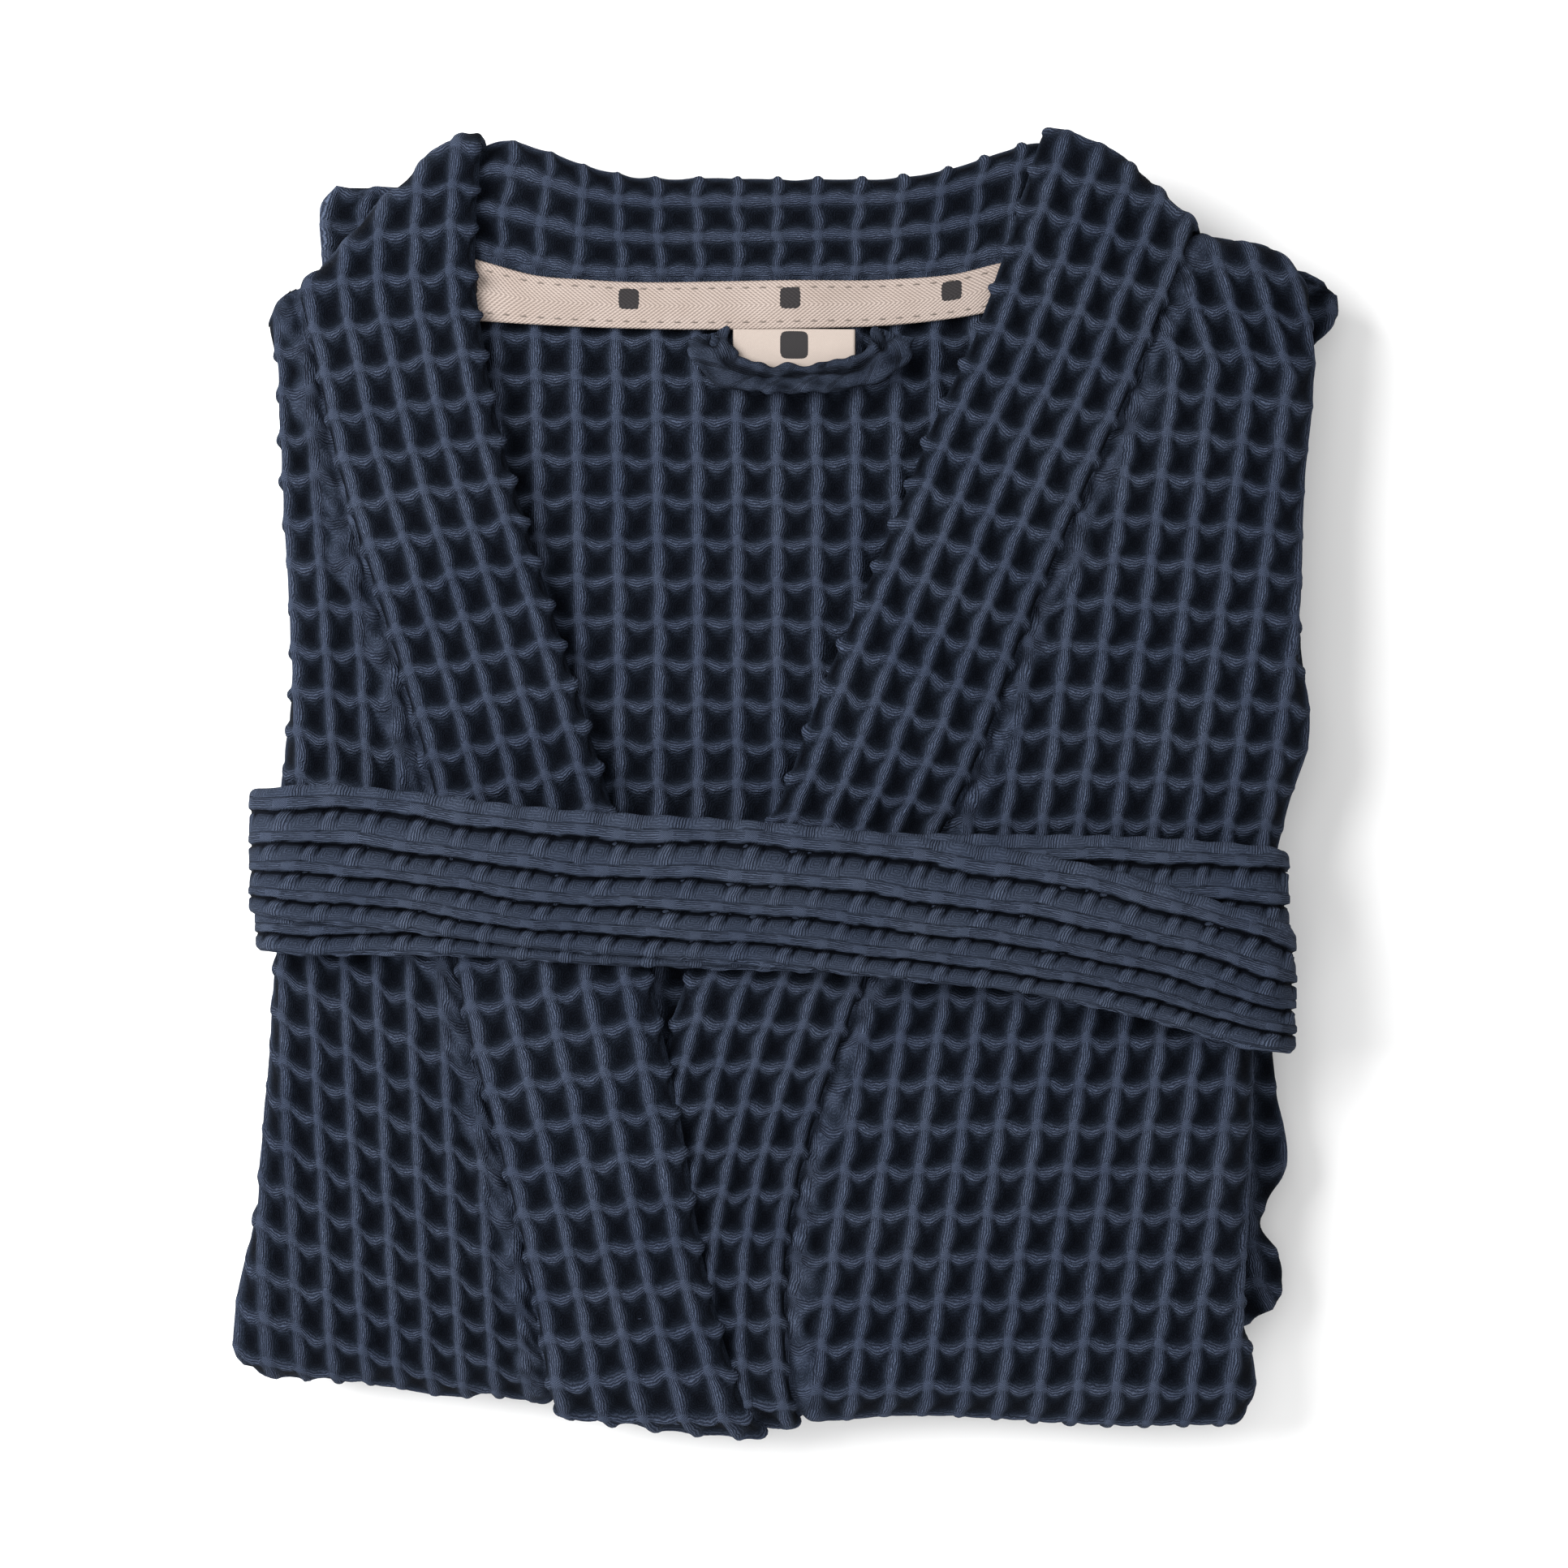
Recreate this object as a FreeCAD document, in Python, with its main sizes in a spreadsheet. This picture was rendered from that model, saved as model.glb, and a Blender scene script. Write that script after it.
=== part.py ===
"""A folded waffle-cloth bathrobe with its belt wound twice round the packet.

Frame: millimetres, +Z up, origin under the middle of the packet. The robe lies on its back with its
collar towards +Y. Its sides and sleeves are folded behind it, then the skirt is folded up behind them
(the second pass) and its end is folded down again (the third pass), which carries the packet. The cloth
is thick, so every layer is a slab that turns round the folds. Left is -X, right is +X.
"""
import FreeCAD, Part
import os
from types import SimpleNamespace

import Sketcher

# name: (number in millimetres, what it is)
DIMENSIONS = {
    "cloth": (4.3, "one layer of waffle cloth with the space above it"),
    "hem_cloth": (4.0, "one layer of the third pass, pressed by the rest"),
    "slit": (0.3, "free space between two layers"),
    "fold_air": (0.6, "free space between the second and the third pass"),
    "sleeve_pack": (7.0, "a folded sleeve, two layers"),
    "lower_fold": (-191.4, "Y of the lower fold's axis"),
    "upper_fold": (181.0, "Y of the upper fold's axis"),
    "hem": (5.0, "Y of the skirt's hem, under the packet"),
    "side_low": (-187.0, "lowest station of the side folds, Y"),
    "side_mid": (0.0, "station of the side folds at the belt, Y"),
    "side_high": (150.0, "highest station of the side folds, Y"),
    "left_low": (-166.0, "left edge at the lowest station"),
    "left_mid": (-161.0, "left edge at the belt"),
    "left_high": (-166.0, "left edge at the highest station"),
    "right_low": (150.0, "right edge at the lowest station"),
    "right_mid": (156.0, "right edge at the belt"),
    "right_high": (168.0, "right edge at the highest station"),
    "side_return": (100.0, "how far the sides are folded behind"),
    "left_seam_low": (-76.0, "left band's seam at the lowest station"),
    "left_seam_mid": (-108.0, "left band's seam at the belt"),
    "left_seam_high": (-150.0, "left band's seam at the highest station"),
    "right_seam_low": (3.0, "right band's seam at the lowest station"),
    "right_seam_mid": (55.0, "right band's seam at the belt"),
    "right_seam_high": (117.0, "right band's seam at the highest station"),
    "band_wide": (55.0, "collar band, finished width"),
    "band_lap": (4.0, "how far the lapped band covers its own front"),
    "lap_left": (-70.0, "left edge of the lapped bands in the skirt"),
    "lap_right": (-6.0, "right edge of the lapped bands in the skirt"),
    "neck_seam": (162.0, "Y of the seam between back and collar, in its level stretch"),
    "neck_rise": (6.0, "how far the neck seam rises at its ends"),
    "neck_slope": (35.0, "length of the sloping ends of the neck seam"),
    "neck_left": (-97.0, "left end of the neck seam"),
    "neck_right": (70.0, "right end of the neck seam"),
    "neck_top": (195.0, "Y of the collar's upper edge at the back neck"),
    "collar_peak": (210.0, "Y of the collar's peaks over the shoulders"),
    "centre_seam": (-1.0, "X of the collar's seam at the back neck"),
    "skirt_left": (-161.0, "left edge of the folded skirt"),
    "skirt_right": (149.0, "right edge of the folded skirt"),
    "left_ear": (-169.0, "X of the left sleeve's corner"),
    "right_ear": (175.0, "X of the right sleeve's corner"),
    "ear_height": (158.0, "Y of the sleeves' corners"),
    "sleeve_gap": (12.0, "space between the two folded sleeves"),
    "sleeve_cuff": (-150.0, "Y of the sleeves' ends, behind the packet"),
    "tape_wide": (15.0, "neck tape"),
    "tape_thick": (1.0, "neck tape"),
    "stitch_long": (2.6, "one stitch on the tape"),
    "stitch_wide": (0.6, "the sewing thread"),
    "stitch_pitch": (5.5, "from stitch to stitch"),
    "stitch_inset": (2.2, "from the tape's edge to a row of stitches"),
    "label_left": (-16.5, "X of the label's left side"),
    "label_wide": (39.5, "sewn-in label"),
    "label_long": (13.5, "label, from the tape to its free end"),
    "label_thick": (1.0, "label, two plies"),
    "label_gap": (1.2, "space between the label and the tape"),
    "loop_left": (-32.0, "X of the hanger loop's left side"),
    "loop_right": (43.0, "X of the hanger loop's right side"),
    "loop_drop": (20.5, "hanger loop, from the tape to its far side"),
    "loop_wide": (8.5, "width of the hanger loop's tube of cloth"),
    "loop_thick": (3.6, "thickness of the hanger loop's tube of cloth"),
    "loop_bend": (15.0, "outer radius of the hanger loop's corners"),
    "loop_edge": (1.2, "rounding of the tube's edges"),
    "belt_thick": (4.0, "one turn of the belt, a pressed tube of cloth"),
    "belt_wide": (46.0, "belt"),
    "belt_gap": (0.3, "space between the belt and the highest cloth"),
    "belt_left": (-175.0, "X of the belt's left side"),
    "belt_right": (165.5, "X of the belt's right side"),
    "belt_corner": (14.0, "outer radius of the belt's corners"),
    "outer_turn_left": (0.0, "Y of the outer turn's upper edge at its left end"),
    "outer_turn_right": (-46.0, "Y of the outer turn's upper edge at its right end"),
    "inner_turn_left": (-10.0, "Y of the inner turn's upper edge at its left end"),
    "inner_turn_right": (-21.0, "Y of the inner turn's upper edge at its right end"),
    "belt_blank": (160.0, "length in Y of the blank that a turn is cut from"),
}
STITCHES_IN_A_ROW = 29


class Size:
    """A length with its number and the spreadsheet expression that gives it."""

    def __init__(self, number, text):
        self.number = number
        self.text = text

    def _with(self, sign, other, number):
        return Size(number, f"({self.text} {sign} {other.text})")

    def __add__(self, other):
        other = as_size(other)
        return self._with("+", other, self.number + other.number)

    def __sub__(self, other):
        other = as_size(other)
        return self._with("-", other, self.number - other.number)

    def __mul__(self, other):
        other = as_size(other)
        return self._with("*", other, self.number * other.number)

    def __truediv__(self, other):
        other = as_size(other)
        return self._with("/", other, self.number / other.number)

    def __neg__(self):
        return Size(-self.number, f"(0 - {self.text})")


def as_size(value):
    return value if isinstance(value, Size) else Size(float(value), f"({float(value)})")


def middle(a, b):
    return (a + b) / 2


def make_sheet(doc):
    """The spreadsheet, and the same dimensions as Sizes."""
    sheet = doc.addObject("Spreadsheet::Sheet", "dims")
    sizes = {}
    for row, (name, (number, note)) in enumerate(DIMENSIONS.items(), start=1):
        sheet.set(f"A{row}", name)
        sheet.set(f"B{row}", str(number))
        sheet.setAlias(f"B{row}", name)
        sheet.set(f"C{row}", note)
        sizes[name] = Size(number, f"dims.{name}")
    doc.recompute()
    return SimpleNamespace(**sizes)


def new_body(doc, label):
    body = doc.addObject("PartDesign::Body", label)
    body.Label = label
    return body


def new_sketch(body, name, plane, height):
    """A sketch at a height over one of the body's origin planes."""
    sketch = body.newObject("Sketcher::SketchObject", name)
    origin_plane = next(f for f in body.Origin.OriginFeatures if f.Role == plane)
    sketch.AttachmentSupport = [(origin_plane, "")]
    sketch.MapMode = "FlatFace"
    sketch.AttachmentOffset = FreeCAD.Placement(FreeCAD.Vector(0, 0, height.number), FreeCAD.Rotation())
    sketch.setExpression("AttachmentOffset.Base.z", height.text)
    return sketch


def fix_coordinate(sketch, kind, edge, point, size):
    """Holds one coordinate of a sketch point at a size from the sheet."""
    index = sketch.addConstraint(Sketcher.Constraint(kind, -1, 1, edge, point, size.number))
    sketch.setExpression(f"Constraints[{index}]", size.text)


def arc_between(start, end, centre, turns_left):
    """The arc from start to end round centre, and the numbers of its first and last point."""
    a, b, c = (FreeCAD.Vector(x.number, y.number, 0) for x, y in (start, end, centre))
    circle = Part.Circle(c, FreeCAD.Vector(0, 0, 1), (a - c).Length)
    if turns_left:
        return Part.ArcOfCircle(circle, circle.parameter(a), circle.parameter(b)), (1, 2)
    return Part.ArcOfCircle(circle, circle.parameter(b), circle.parameter(a)), (2, 1)


def draw(sketch, corners):
    """A closed outline. A corner is (x, y), or (x, y, centre, turns_left) where an arc follows it."""
    first = sketch.GeometryCount
    ends = []
    for corner, following in zip(corners, corners[1:] + corners[:1]):
        if len(corner) > 2:
            edge, points = arc_between(corner[:2], following[:2], corner[2], corner[3])
        else:
            a, b = (FreeCAD.Vector(x.number, y.number, 0) for x, y in (corner, following[:2]))
            edge, points = Part.LineSegment(a, b), (1, 2)
        sketch.addGeometry(edge, False)
        ends.append(points)
    for index, corner in enumerate(corners):
        following = (index + 1) % len(corners)
        start, end = ends[index]
        joined = (first + index, end, first + following, ends[following][0])
        sketch.addConstraint(Sketcher.Constraint("Coincident", *joined))
        fix_coordinate(sketch, "DistanceX", first + index, start, corner[0])
        fix_coordinate(sketch, "DistanceY", first + index, start, corner[1])
        if len(corner) > 2:
            fix_coordinate(sketch, "DistanceX", first + index, 3, corner[2][0])


def pad(body, name, plane, height, length, *outlines):
    """Pads outlines towards +X, +Y or +Z, from a height over their plane."""
    sketch = new_sketch(body, f"{name}_outline", plane, -height if plane == "XZ_Plane" else height)
    for corners in outlines:
        draw(sketch, corners)
    feature = body.newObject("PartDesign::Pad", name)
    feature.Profile = sketch
    feature.Length = length.number
    feature.setExpression("Length", length.text)
    feature.Reversed = plane == "XZ_Plane"
    return feature


def loft_along_y(body, name, stations):
    """A ruled loft through outlines that stand across Y."""
    sketches = []
    for index, (y, corners) in enumerate(stations):
        sketches.append(new_sketch(body, f"{name}_station_{index}", "XZ_Plane", -y))
        draw(sketches[-1], corners)
    feature = body.newObject("PartDesign::AdditiveLoft", name)
    feature.Profile = sketches[0]
    feature.Sections = sketches[1:]
    feature.Ruled = True
    return feature


def levels_of(d):
    """The heights that part the layers, from the floor up."""
    z = SimpleNamespace(floor=as_size(0))
    z.hem_front = z.floor + d.hem_cloth
    z.hem_top = z.hem_front + d.hem_cloth
    z.skirt_front = z.hem_top + d.fold_air
    z.skirt_back = z.skirt_front + d.cloth
    z.sleeve = z.skirt_back + d.cloth
    z.front_return = z.sleeve + d.sleeve_pack
    z.back_return = z.front_return + d.cloth
    z.back = z.back_return + d.cloth
    z.front = z.back + d.cloth
    z.top = z.front + d.cloth
    z.band_top = z.top + d.cloth
    return z


def skirt(body, d, x_from, x_to, upper, lower, hem):
    """A skirt layer across Y: round the lower fold, up the second pass, round the upper fold, to the hem.

    upper, lower and hem are the layer's two faces in the three passes, each pass from the same face.
    """
    low, high = d.lower_fold, d.upper_fold
    corners = [
        (d.side_low, upper[0]),
        (low, upper[0], (low, middle(upper[0], lower[0])), True),
        (low, lower[0]),
        (high, lower[0], (high, middle(lower[0], hem[0])), False),
        (high, hem[0]),
        (d.hem, hem[0]),
        (d.hem, hem[1]),
        (high, hem[1], (high, middle(lower[1], hem[1])), True),
        (high, lower[1]),
        (low, lower[1], (low, middle(upper[1], lower[1])), False),
        (low, upper[1]),
        (d.side_low, upper[1]),
    ]
    return pad(body, "skirt", "YZ_Plane", x_from, x_to - x_from, corners)


def neckline(d, offset):
    """The seam between back and collar from left to right, moved by offset in Y."""
    return [
        (d.neck_left, d.neck_seam + d.neck_rise + offset),
        (d.neck_left + d.neck_slope, d.neck_seam + offset),
        (d.neck_right - d.neck_slope, d.neck_seam + offset),
        (d.neck_right, d.neck_seam + d.neck_rise + offset),
    ]


def neckline_y(d, x):
    """Y of the neck seam at x."""
    left_of_level = d.neck_left + d.neck_slope - x
    right_of_level = x - d.neck_right + d.neck_slope
    for beyond in (left_of_level, right_of_level):
        if beyond.number > 0:
            return d.neck_seam + d.neck_rise * beyond / d.neck_slope
    return d.neck_seam


def back_station(d, z, left, right):
    """The back and its two side returns, across Y."""
    a, b = left + d.cloth * 2, right - d.cloth * 2
    low = z.back_return + d.slit
    axis = middle(z.front, low)
    return [
        (b, z.front),
        (a, z.front, (a, axis), True),
        (a, low),
        (a + d.side_return, low),
        (a + d.side_return, z.back),
        (a, z.back),
        (a, z.back + d.slit),
        (b, z.back + d.slit),
        (b, z.back),
        (b - d.side_return, z.back),
        (b - d.side_return, low),
        (b, low, (b, axis), True),
    ]


def front_station(d, z, edge, seam, side):
    """A front and its side return, across Y. side is 1 for the left front and -1 for the right one."""
    a = edge + d.cloth * (2 * side)
    inner = a + d.side_return * side
    seam = seam - d.slit * side
    low, under = z.front_return + d.slit, z.front + d.slit
    return [
        (seam, z.top),
        (a, z.top, (a, middle(z.top, low)), side > 0),
        (a, low),
        (inner, low),
        (inner, z.back_return),
        (a, z.back_return, (a, middle(under, z.back_return)), side < 0),
        (a, under),
        (seam, under),
    ]


def slab(body, name, low, high, corners):
    return pad(body, name, "XY_Plane", low, high - low, corners)


def make_back(doc, d, z):
    body = new_body(doc, "back_panel")
    stations = [
        (d.side_low, back_station(d, z, d.left_low, d.right_low)),
        (d.side_mid, back_station(d, z, d.left_mid, d.right_mid)),
        (d.side_high, back_station(d, z, d.left_high, d.right_high)),
    ]
    loft_along_y(body, "upper_back", stations)
    faces = (z.front, z.back + d.slit), (z.skirt_back + d.slit, z.sleeve), (z.hem_front, z.floor)
    skirt(body, d, d.skirt_left, d.skirt_right, *faces)
    shoulders = [
        (d.left_high + 9, d.side_high - 1),
        (d.right_high - 9, d.side_high - 1),
        (d.right_high - 9, d.neck_seam),
        (d.neck_right + 45, d.neck_top - 9),
        (d.neck_right + 8, d.neck_top),
        *reversed(neckline(d, 0)),
        (d.neck_left - 8, d.neck_top),
        (d.neck_left - 22, d.neck_top),
        (d.left_high + 9, d.neck_seam),
    ]
    slab(body, "shoulders", z.back + d.slit, z.front, shoulders)
    return body


def make_front(doc, d, z, label, edges, seams, side, skirt_edges):
    body = new_body(doc, label)
    heights = d.side_low, d.side_mid, d.side_high
    stations = [
        (y, front_station(d, z, edge, seam, side)) for y, edge, seam in zip(heights, edges, seams)
    ]
    loft_along_y(body, "upper_front", stations)
    faces = (
        (z.top, z.front + d.slit), (z.skirt_front + d.slit, z.skirt_back), (z.hem_top, z.hem_front + d.slit),
    )
    skirt(body, d, *skirt_edges, *faces)
    return body


def make_left_front(doc, d, z):
    edges = d.left_low, d.left_mid, d.left_high
    seams = d.left_seam_low, d.left_seam_mid, d.left_seam_high
    return make_front(doc, d, z, "left_front", edges, seams, 1, (d.skirt_left, d.lap_left - d.slit))


def make_right_front(doc, d, z):
    edges = d.right_low, d.right_mid, d.right_high
    seams = d.right_seam_low, d.right_seam_mid, d.right_seam_high
    skirt_edges = d.right_seam_low + d.slit, d.skirt_right
    body = make_front(doc, d, z, "right_front", edges, seams, -1, skirt_edges)
    shoulder = [
        (d.right_seam_high + d.slit, d.side_high - 1),
        (d.right_high - 9, d.side_high - 1),
        (d.right_high - 9, d.neck_seam),
        (d.right_high - 30, d.neck_seam + 13),
        (d.right_seam_high + 11, d.neck_seam + 15),
    ]
    slab(body, "shoulder", z.front + d.slit, z.top, shoulder)
    return body


def make_left_band(doc, d, z):
    """The half of the collar that laps over the other: neck, shoulder, left front edge, skirt."""
    body = new_body(doc, "left_collar_band")
    seam, inner, mid = d.left_seam_mid, d.left_seam_mid + d.band_wide, d.side_mid
    upper_run = [
        (seam, mid),
        (inner, mid),
        (d.neck_left - 1, d.neck_seam - 8),
        (d.neck_left - 1, d.collar_peak - 6),
        (d.neck_left - 4, d.collar_peak),
        (d.neck_left - 26, d.neck_top),
        (d.left_seam_high, d.side_high),
    ]
    slab(body, "upper_run", z.front + d.slit, z.band_top, upper_run)
    lower_run = [
        (seam - d.band_lap, mid + 1),
        (d.left_seam_low - d.band_lap, d.side_low),
        (d.lap_left, d.lower_fold),
        (d.lap_right, d.lower_fold),
        (d.lap_right - 8, d.side_low),
        (inner, mid + 1),
    ]
    slab(body, "lower_run", z.top, z.band_top, lower_run)
    low_neck = neckline(d, d.slit)[:2]
    neck_run = [
        *low_neck,
        (d.centre_seam, d.neck_seam + d.slit),
        (d.centre_seam, d.neck_top),
        (d.neck_left + 38, d.neck_top),
        (d.neck_left - 4, d.collar_peak),
        (d.neck_left - 6, d.neck_top + 3),
    ]
    slab(body, "neck_run", z.back + d.slit, z.top, neck_run)
    half, hem_half = middle(z.skirt_front, z.skirt_back), middle(z.hem_top, z.hem_front)
    faces = (z.band_top, z.top + d.slit), (z.skirt_front + d.slit, half), (z.hem_top, hem_half + d.slit)
    skirt(body, d, d.lap_left, d.lap_right, *faces)
    return body


def make_right_band(doc, d, z):
    """The half of the collar that runs under the other below the belt."""
    body = new_body(doc, "right_collar_band")
    seam, inner, mid = d.right_seam_mid, d.right_seam_mid - d.band_wide, d.side_mid
    upper_run = [
        (seam, mid),
        (d.right_seam_high, d.side_high),
        (d.right_seam_high + 11, d.neck_top - 15),
        (d.neck_right + 26, d.collar_peak - 4),
        (d.neck_right + 12, d.collar_peak),
        (d.neck_right + 6, d.collar_peak - 2),
        (d.neck_right + 1, d.neck_seam - 8),
        (inner, mid),
    ]
    slab(body, "upper_run", z.front + d.slit, z.band_top, upper_run)
    lower_run = [
        (seam, mid + 1),
        (inner, mid + 1),
        (d.lap_left + 14, d.side_low),
        (d.lap_left + 8, d.lower_fold),
        (d.right_seam_low, d.lower_fold),
        (d.right_seam_low, d.side_low),
    ]
    slab(body, "lower_run", z.front + d.slit, z.top - d.slit, lower_run)
    low_neck = [(d.neck_right - d.neck_slope, d.neck_seam + d.slit), neckline(d, d.slit)[3]]
    neck_run = [
        (d.centre_seam + d.slit, d.neck_seam + d.slit),
        *low_neck,
        (d.neck_right + 6, d.neck_top + 3),
        (d.neck_right + 6, d.collar_peak - 2),
        (d.neck_right - 22, d.neck_top),
        (d.centre_seam + d.slit, d.neck_top),
    ]
    slab(body, "neck_run", z.back + d.slit, z.top, neck_run)
    half, hem_half = middle(z.skirt_front, z.skirt_back), middle(z.hem_top, z.hem_front)
    faces = (
        (z.top - d.slit, z.front + d.slit), (half + d.slit, z.skirt_back), (hem_half, z.hem_front + d.slit),
    )
    skirt(body, d, d.lap_left + 8, d.right_seam_low, *faces)
    return body


def make_sleeve(doc, d, z, label, corners):
    """A sleeve folded flat behind the body, its cuff towards the lower fold."""
    body = new_body(doc, label)
    slab(body, "folded_sleeve", z.sleeve + d.slit, z.front_return, corners)
    return body


def make_left_sleeve(doc, d, z):
    middle_edge = -d.sleeve_gap / 2
    corners = [
        (d.left_mid + 2, d.sleeve_cuff),
        (middle_edge, d.sleeve_cuff),
        (middle_edge, d.ear_height),
        (d.neck_left, d.neck_top - 3),
        (d.left_ear + 21, d.neck_top - 3),
        (d.left_ear + 3, d.ear_height + 6),
        (d.left_ear, d.ear_height - 12),
        (d.left_mid, d.ear_height - 60),
    ]
    return make_sleeve(doc, d, z, "left_sleeve", corners)


def make_right_sleeve(doc, d, z):
    middle_edge = d.sleeve_gap / 2
    corners = [
        (middle_edge, d.sleeve_cuff),
        (d.right_mid - 4, d.sleeve_cuff),
        (d.right_mid, d.ear_height - 90),
        (d.right_ear - 8, d.ear_height - 20),
        (d.right_ear, d.ear_height),
        (d.right_ear - 8, d.ear_height + 8),
        (d.neck_right + 40, d.neck_top - 14),
        (d.neck_right, d.neck_top - 4),
        (middle_edge, d.ear_height),
    ]
    return make_sleeve(doc, d, z, "right_sleeve", corners)


def make_tape(doc, d, z):
    """The tape that covers the neck seam's allowance, sewn down along both edges."""
    body = new_body(doc, "neck_tape")
    upper, lower = neckline(d, 0), neckline(d, -d.tape_wide)
    slab(body, "tape", z.front, z.front + d.tape_thick, lower + upper[::-1])
    return body


def make_stitches(doc, d, z):
    """Two rows of stitches, one along each edge of the tape, as a group of separate solids."""
    group = doc.addObject("Part::Compound", "tape_stitches")
    group.Label = "tape_stitches"
    stitches = []
    for row, depth in (("upper", d.stitch_inset), ("lower", d.tape_wide - d.stitch_inset)):
        for index in range(STITCHES_IN_A_ROW):
            x = d.neck_left + d.stitch_pitch * (index + 0.6)
            stitch = doc.addObject("Part::Box", f"stitch_{row}_{index}")
            sizes = {
                "Placement.Base.x": x,
                "Placement.Base.y": neckline_y(d, x) - depth,
                "Placement.Base.z": z.front + d.tape_thick,
                "Length": d.stitch_long,
                "Width": d.stitch_wide,
                "Height": d.stitch_wide,
            }
            for name, size in sizes.items():
                stitch.setExpression(name, size.text)
            stitches.append(stitch)
    group.Links = stitches
    return group


def make_label(doc, d, z):
    """A blank label whose free end lies under the hanger loop."""
    body = new_body(doc, "sewn_label")
    top = d.neck_seam - d.tape_wide - d.label_gap
    low, right = top - d.label_long, d.label_left + d.label_wide
    corners = [(d.label_left, low), (right, low), (right, top), (d.label_left, top)]
    slab(body, "label", z.front + d.slit, z.front + d.slit + d.label_thick, corners)
    return body


def make_loop(doc, d, z):
    """The hanger loop: a tube of cloth in a U under the neck tape."""
    body = new_body(doc, "hanger_loop")
    top = d.neck_seam - d.tape_wide - d.slit
    left, right, far = d.loop_left, d.loop_right, d.neck_seam - d.tape_wide - d.loop_drop
    left_axis, right_axis, axis = left + d.loop_bend, right - d.loop_bend, far + d.loop_bend
    inner_left, inner_right, inner_far = left + d.loop_wide, right - d.loop_wide, far + d.loop_wide
    corners = [
        (left, top),
        (left, axis, (left_axis, axis), True),
        (left_axis, far),
        (right_axis, far, (right_axis, axis), True),
        (right, axis),
        (right, top),
        (inner_right, top),
        (inner_right, axis, (right_axis, axis), False),
        (right_axis, inner_far),
        (left_axis, inner_far, (left_axis, axis), False),
        (inner_left, axis),
        (inner_left, top),
    ]
    low = z.front + d.label_thick + d.slit * 2
    tube = slab(body, "tube", low, low + d.loop_thick, corners)
    doc.recompute()
    longer_than_the_ends = d.loop_wide.number + 0.1
    flat_edges = []
    for index, edge in enumerate(tube.Shape.Edges, start=1):
        box = edge.BoundBox
        if box.ZLength < 1e-6 and box.XLength + box.YLength > longer_than_the_ends:
            flat_edges.append(f"Edge{index}")
    soft = body.newObject("PartDesign::Fillet", "soft_edges")
    soft.Base = (tube, flat_edges)
    soft.Radius = d.loop_edge.number
    soft.setExpression("Radius", d.loop_edge.text)
    return body


def rounded_box(left, right, low, high, radius):
    """A rounded rectangle, anticlockwise from its lower left."""
    return [
        (left + radius, low),
        (right - radius, low, (right - radius, low + radius), True),
        (right, low + radius),
        (right, high - radius, (right - radius, high - radius), True),
        (right - radius, high),
        (left + radius, high, (left + radius, high - radius), True),
        (left, high - radius),
        (left, low + radius, (left + radius, low + radius), True),
    ]


def make_turn(doc, d, z, name, inset, left_edge, right_edge):
    """One turn of the belt: a rounded ring round the packet, trimmed to a slanting band."""
    body = new_body(doc, name)
    left, right = d.belt_left + inset, d.belt_right - inset
    low, high = z.floor + inset, z.band_top + d.belt_gap + d.belt_thick * 2 - inset
    corner, thick = d.belt_corner - inset, d.belt_thick
    outside = rounded_box(left, right, low, high, corner)
    inside = rounded_box(left + thick, right - thick, low + thick, high - thick, corner - thick)
    start = -(d.belt_blank - 30)
    end = start + d.belt_blank
    pad(body, "ring", "XZ_Plane", start, d.belt_blank, outside, inside)
    trim = new_sketch(body, "trim_outline", "XY_Plane", as_size(0))
    over_left, over_right = d.belt_left - 10, d.belt_right + 10
    above, below = end + 5, start - 5
    draw(trim, [(over_left, left_edge), (over_right, right_edge), (over_right, above), (over_left, above)])
    lower_left, lower_right = left_edge - d.belt_wide, right_edge - d.belt_wide
    draw(trim, [(over_left, lower_left), (over_left, below), (over_right, below), (over_right, lower_right)])
    doc.recompute()
    cut = body.newObject("PartDesign::Pocket", "trim")
    cut.Profile = trim
    cut.Type = "ThroughAll"
    cut.Midplane = True
    doc.recompute()
    if cut.Shape.Volume > 0.5 * body.Group[1].Shape.Volume:
        raise RuntimeError(f"{name}: the trim cut too little")
    return body


def make_belt(doc, d, z):
    """The belt, wound twice round the packet, its outer turn slanting over the inner one."""
    belt = doc.addObject("Part::Fuse", "belt")
    belt.Label = "belt"
    belt.Base = make_turn(doc, d, z, "outer_turn", as_size(0), d.outer_turn_left, d.outer_turn_right)
    belt.Tool = make_turn(doc, d, z, "inner_turn", d.belt_thick, d.inner_turn_left, d.inner_turn_right)
    return belt


def check(doc, nodes):
    for item in doc.Objects:
        if "Invalid" in item.State or "Error" in item.State:
            raise RuntimeError(f"{item.Name}: {item.State}")
    for node in nodes:
        if node.Shape.isNull() or not node.Shape.isValid() or not node.Shape.Solids:
            raise RuntimeError(f"{node.Label}: its shape is missing or invalid")


def main():
    doc = FreeCAD.newDocument("folded_bathrobe")
    d = make_sheet(doc)
    z = levels_of(d)
    makers = (
        make_back, make_left_front, make_right_front, make_left_band, make_right_band,
        make_left_sleeve, make_right_sleeve, make_tape, make_stitches, make_label, make_loop, make_belt,
    )
    nodes = [maker(doc, d, z) for maker in makers]
    doc.recompute()
    check(doc, nodes)
    os.makedirs("parts", exist_ok=True)
    for node in nodes:
        node.Shape.exportStep(f"parts/{node.Label}.step")
        size = node.Shape.BoundBox
        print(f"{node.Label}: {len(node.Shape.Solids)} solids, {node.Shape.Volume / 1000:.0f} cm3,",
              f"z {size.ZMin:.1f} to {size.ZMax:.1f}, y {size.YMin:.1f} to {size.YMax:.1f}")


main()
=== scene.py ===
import math

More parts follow.
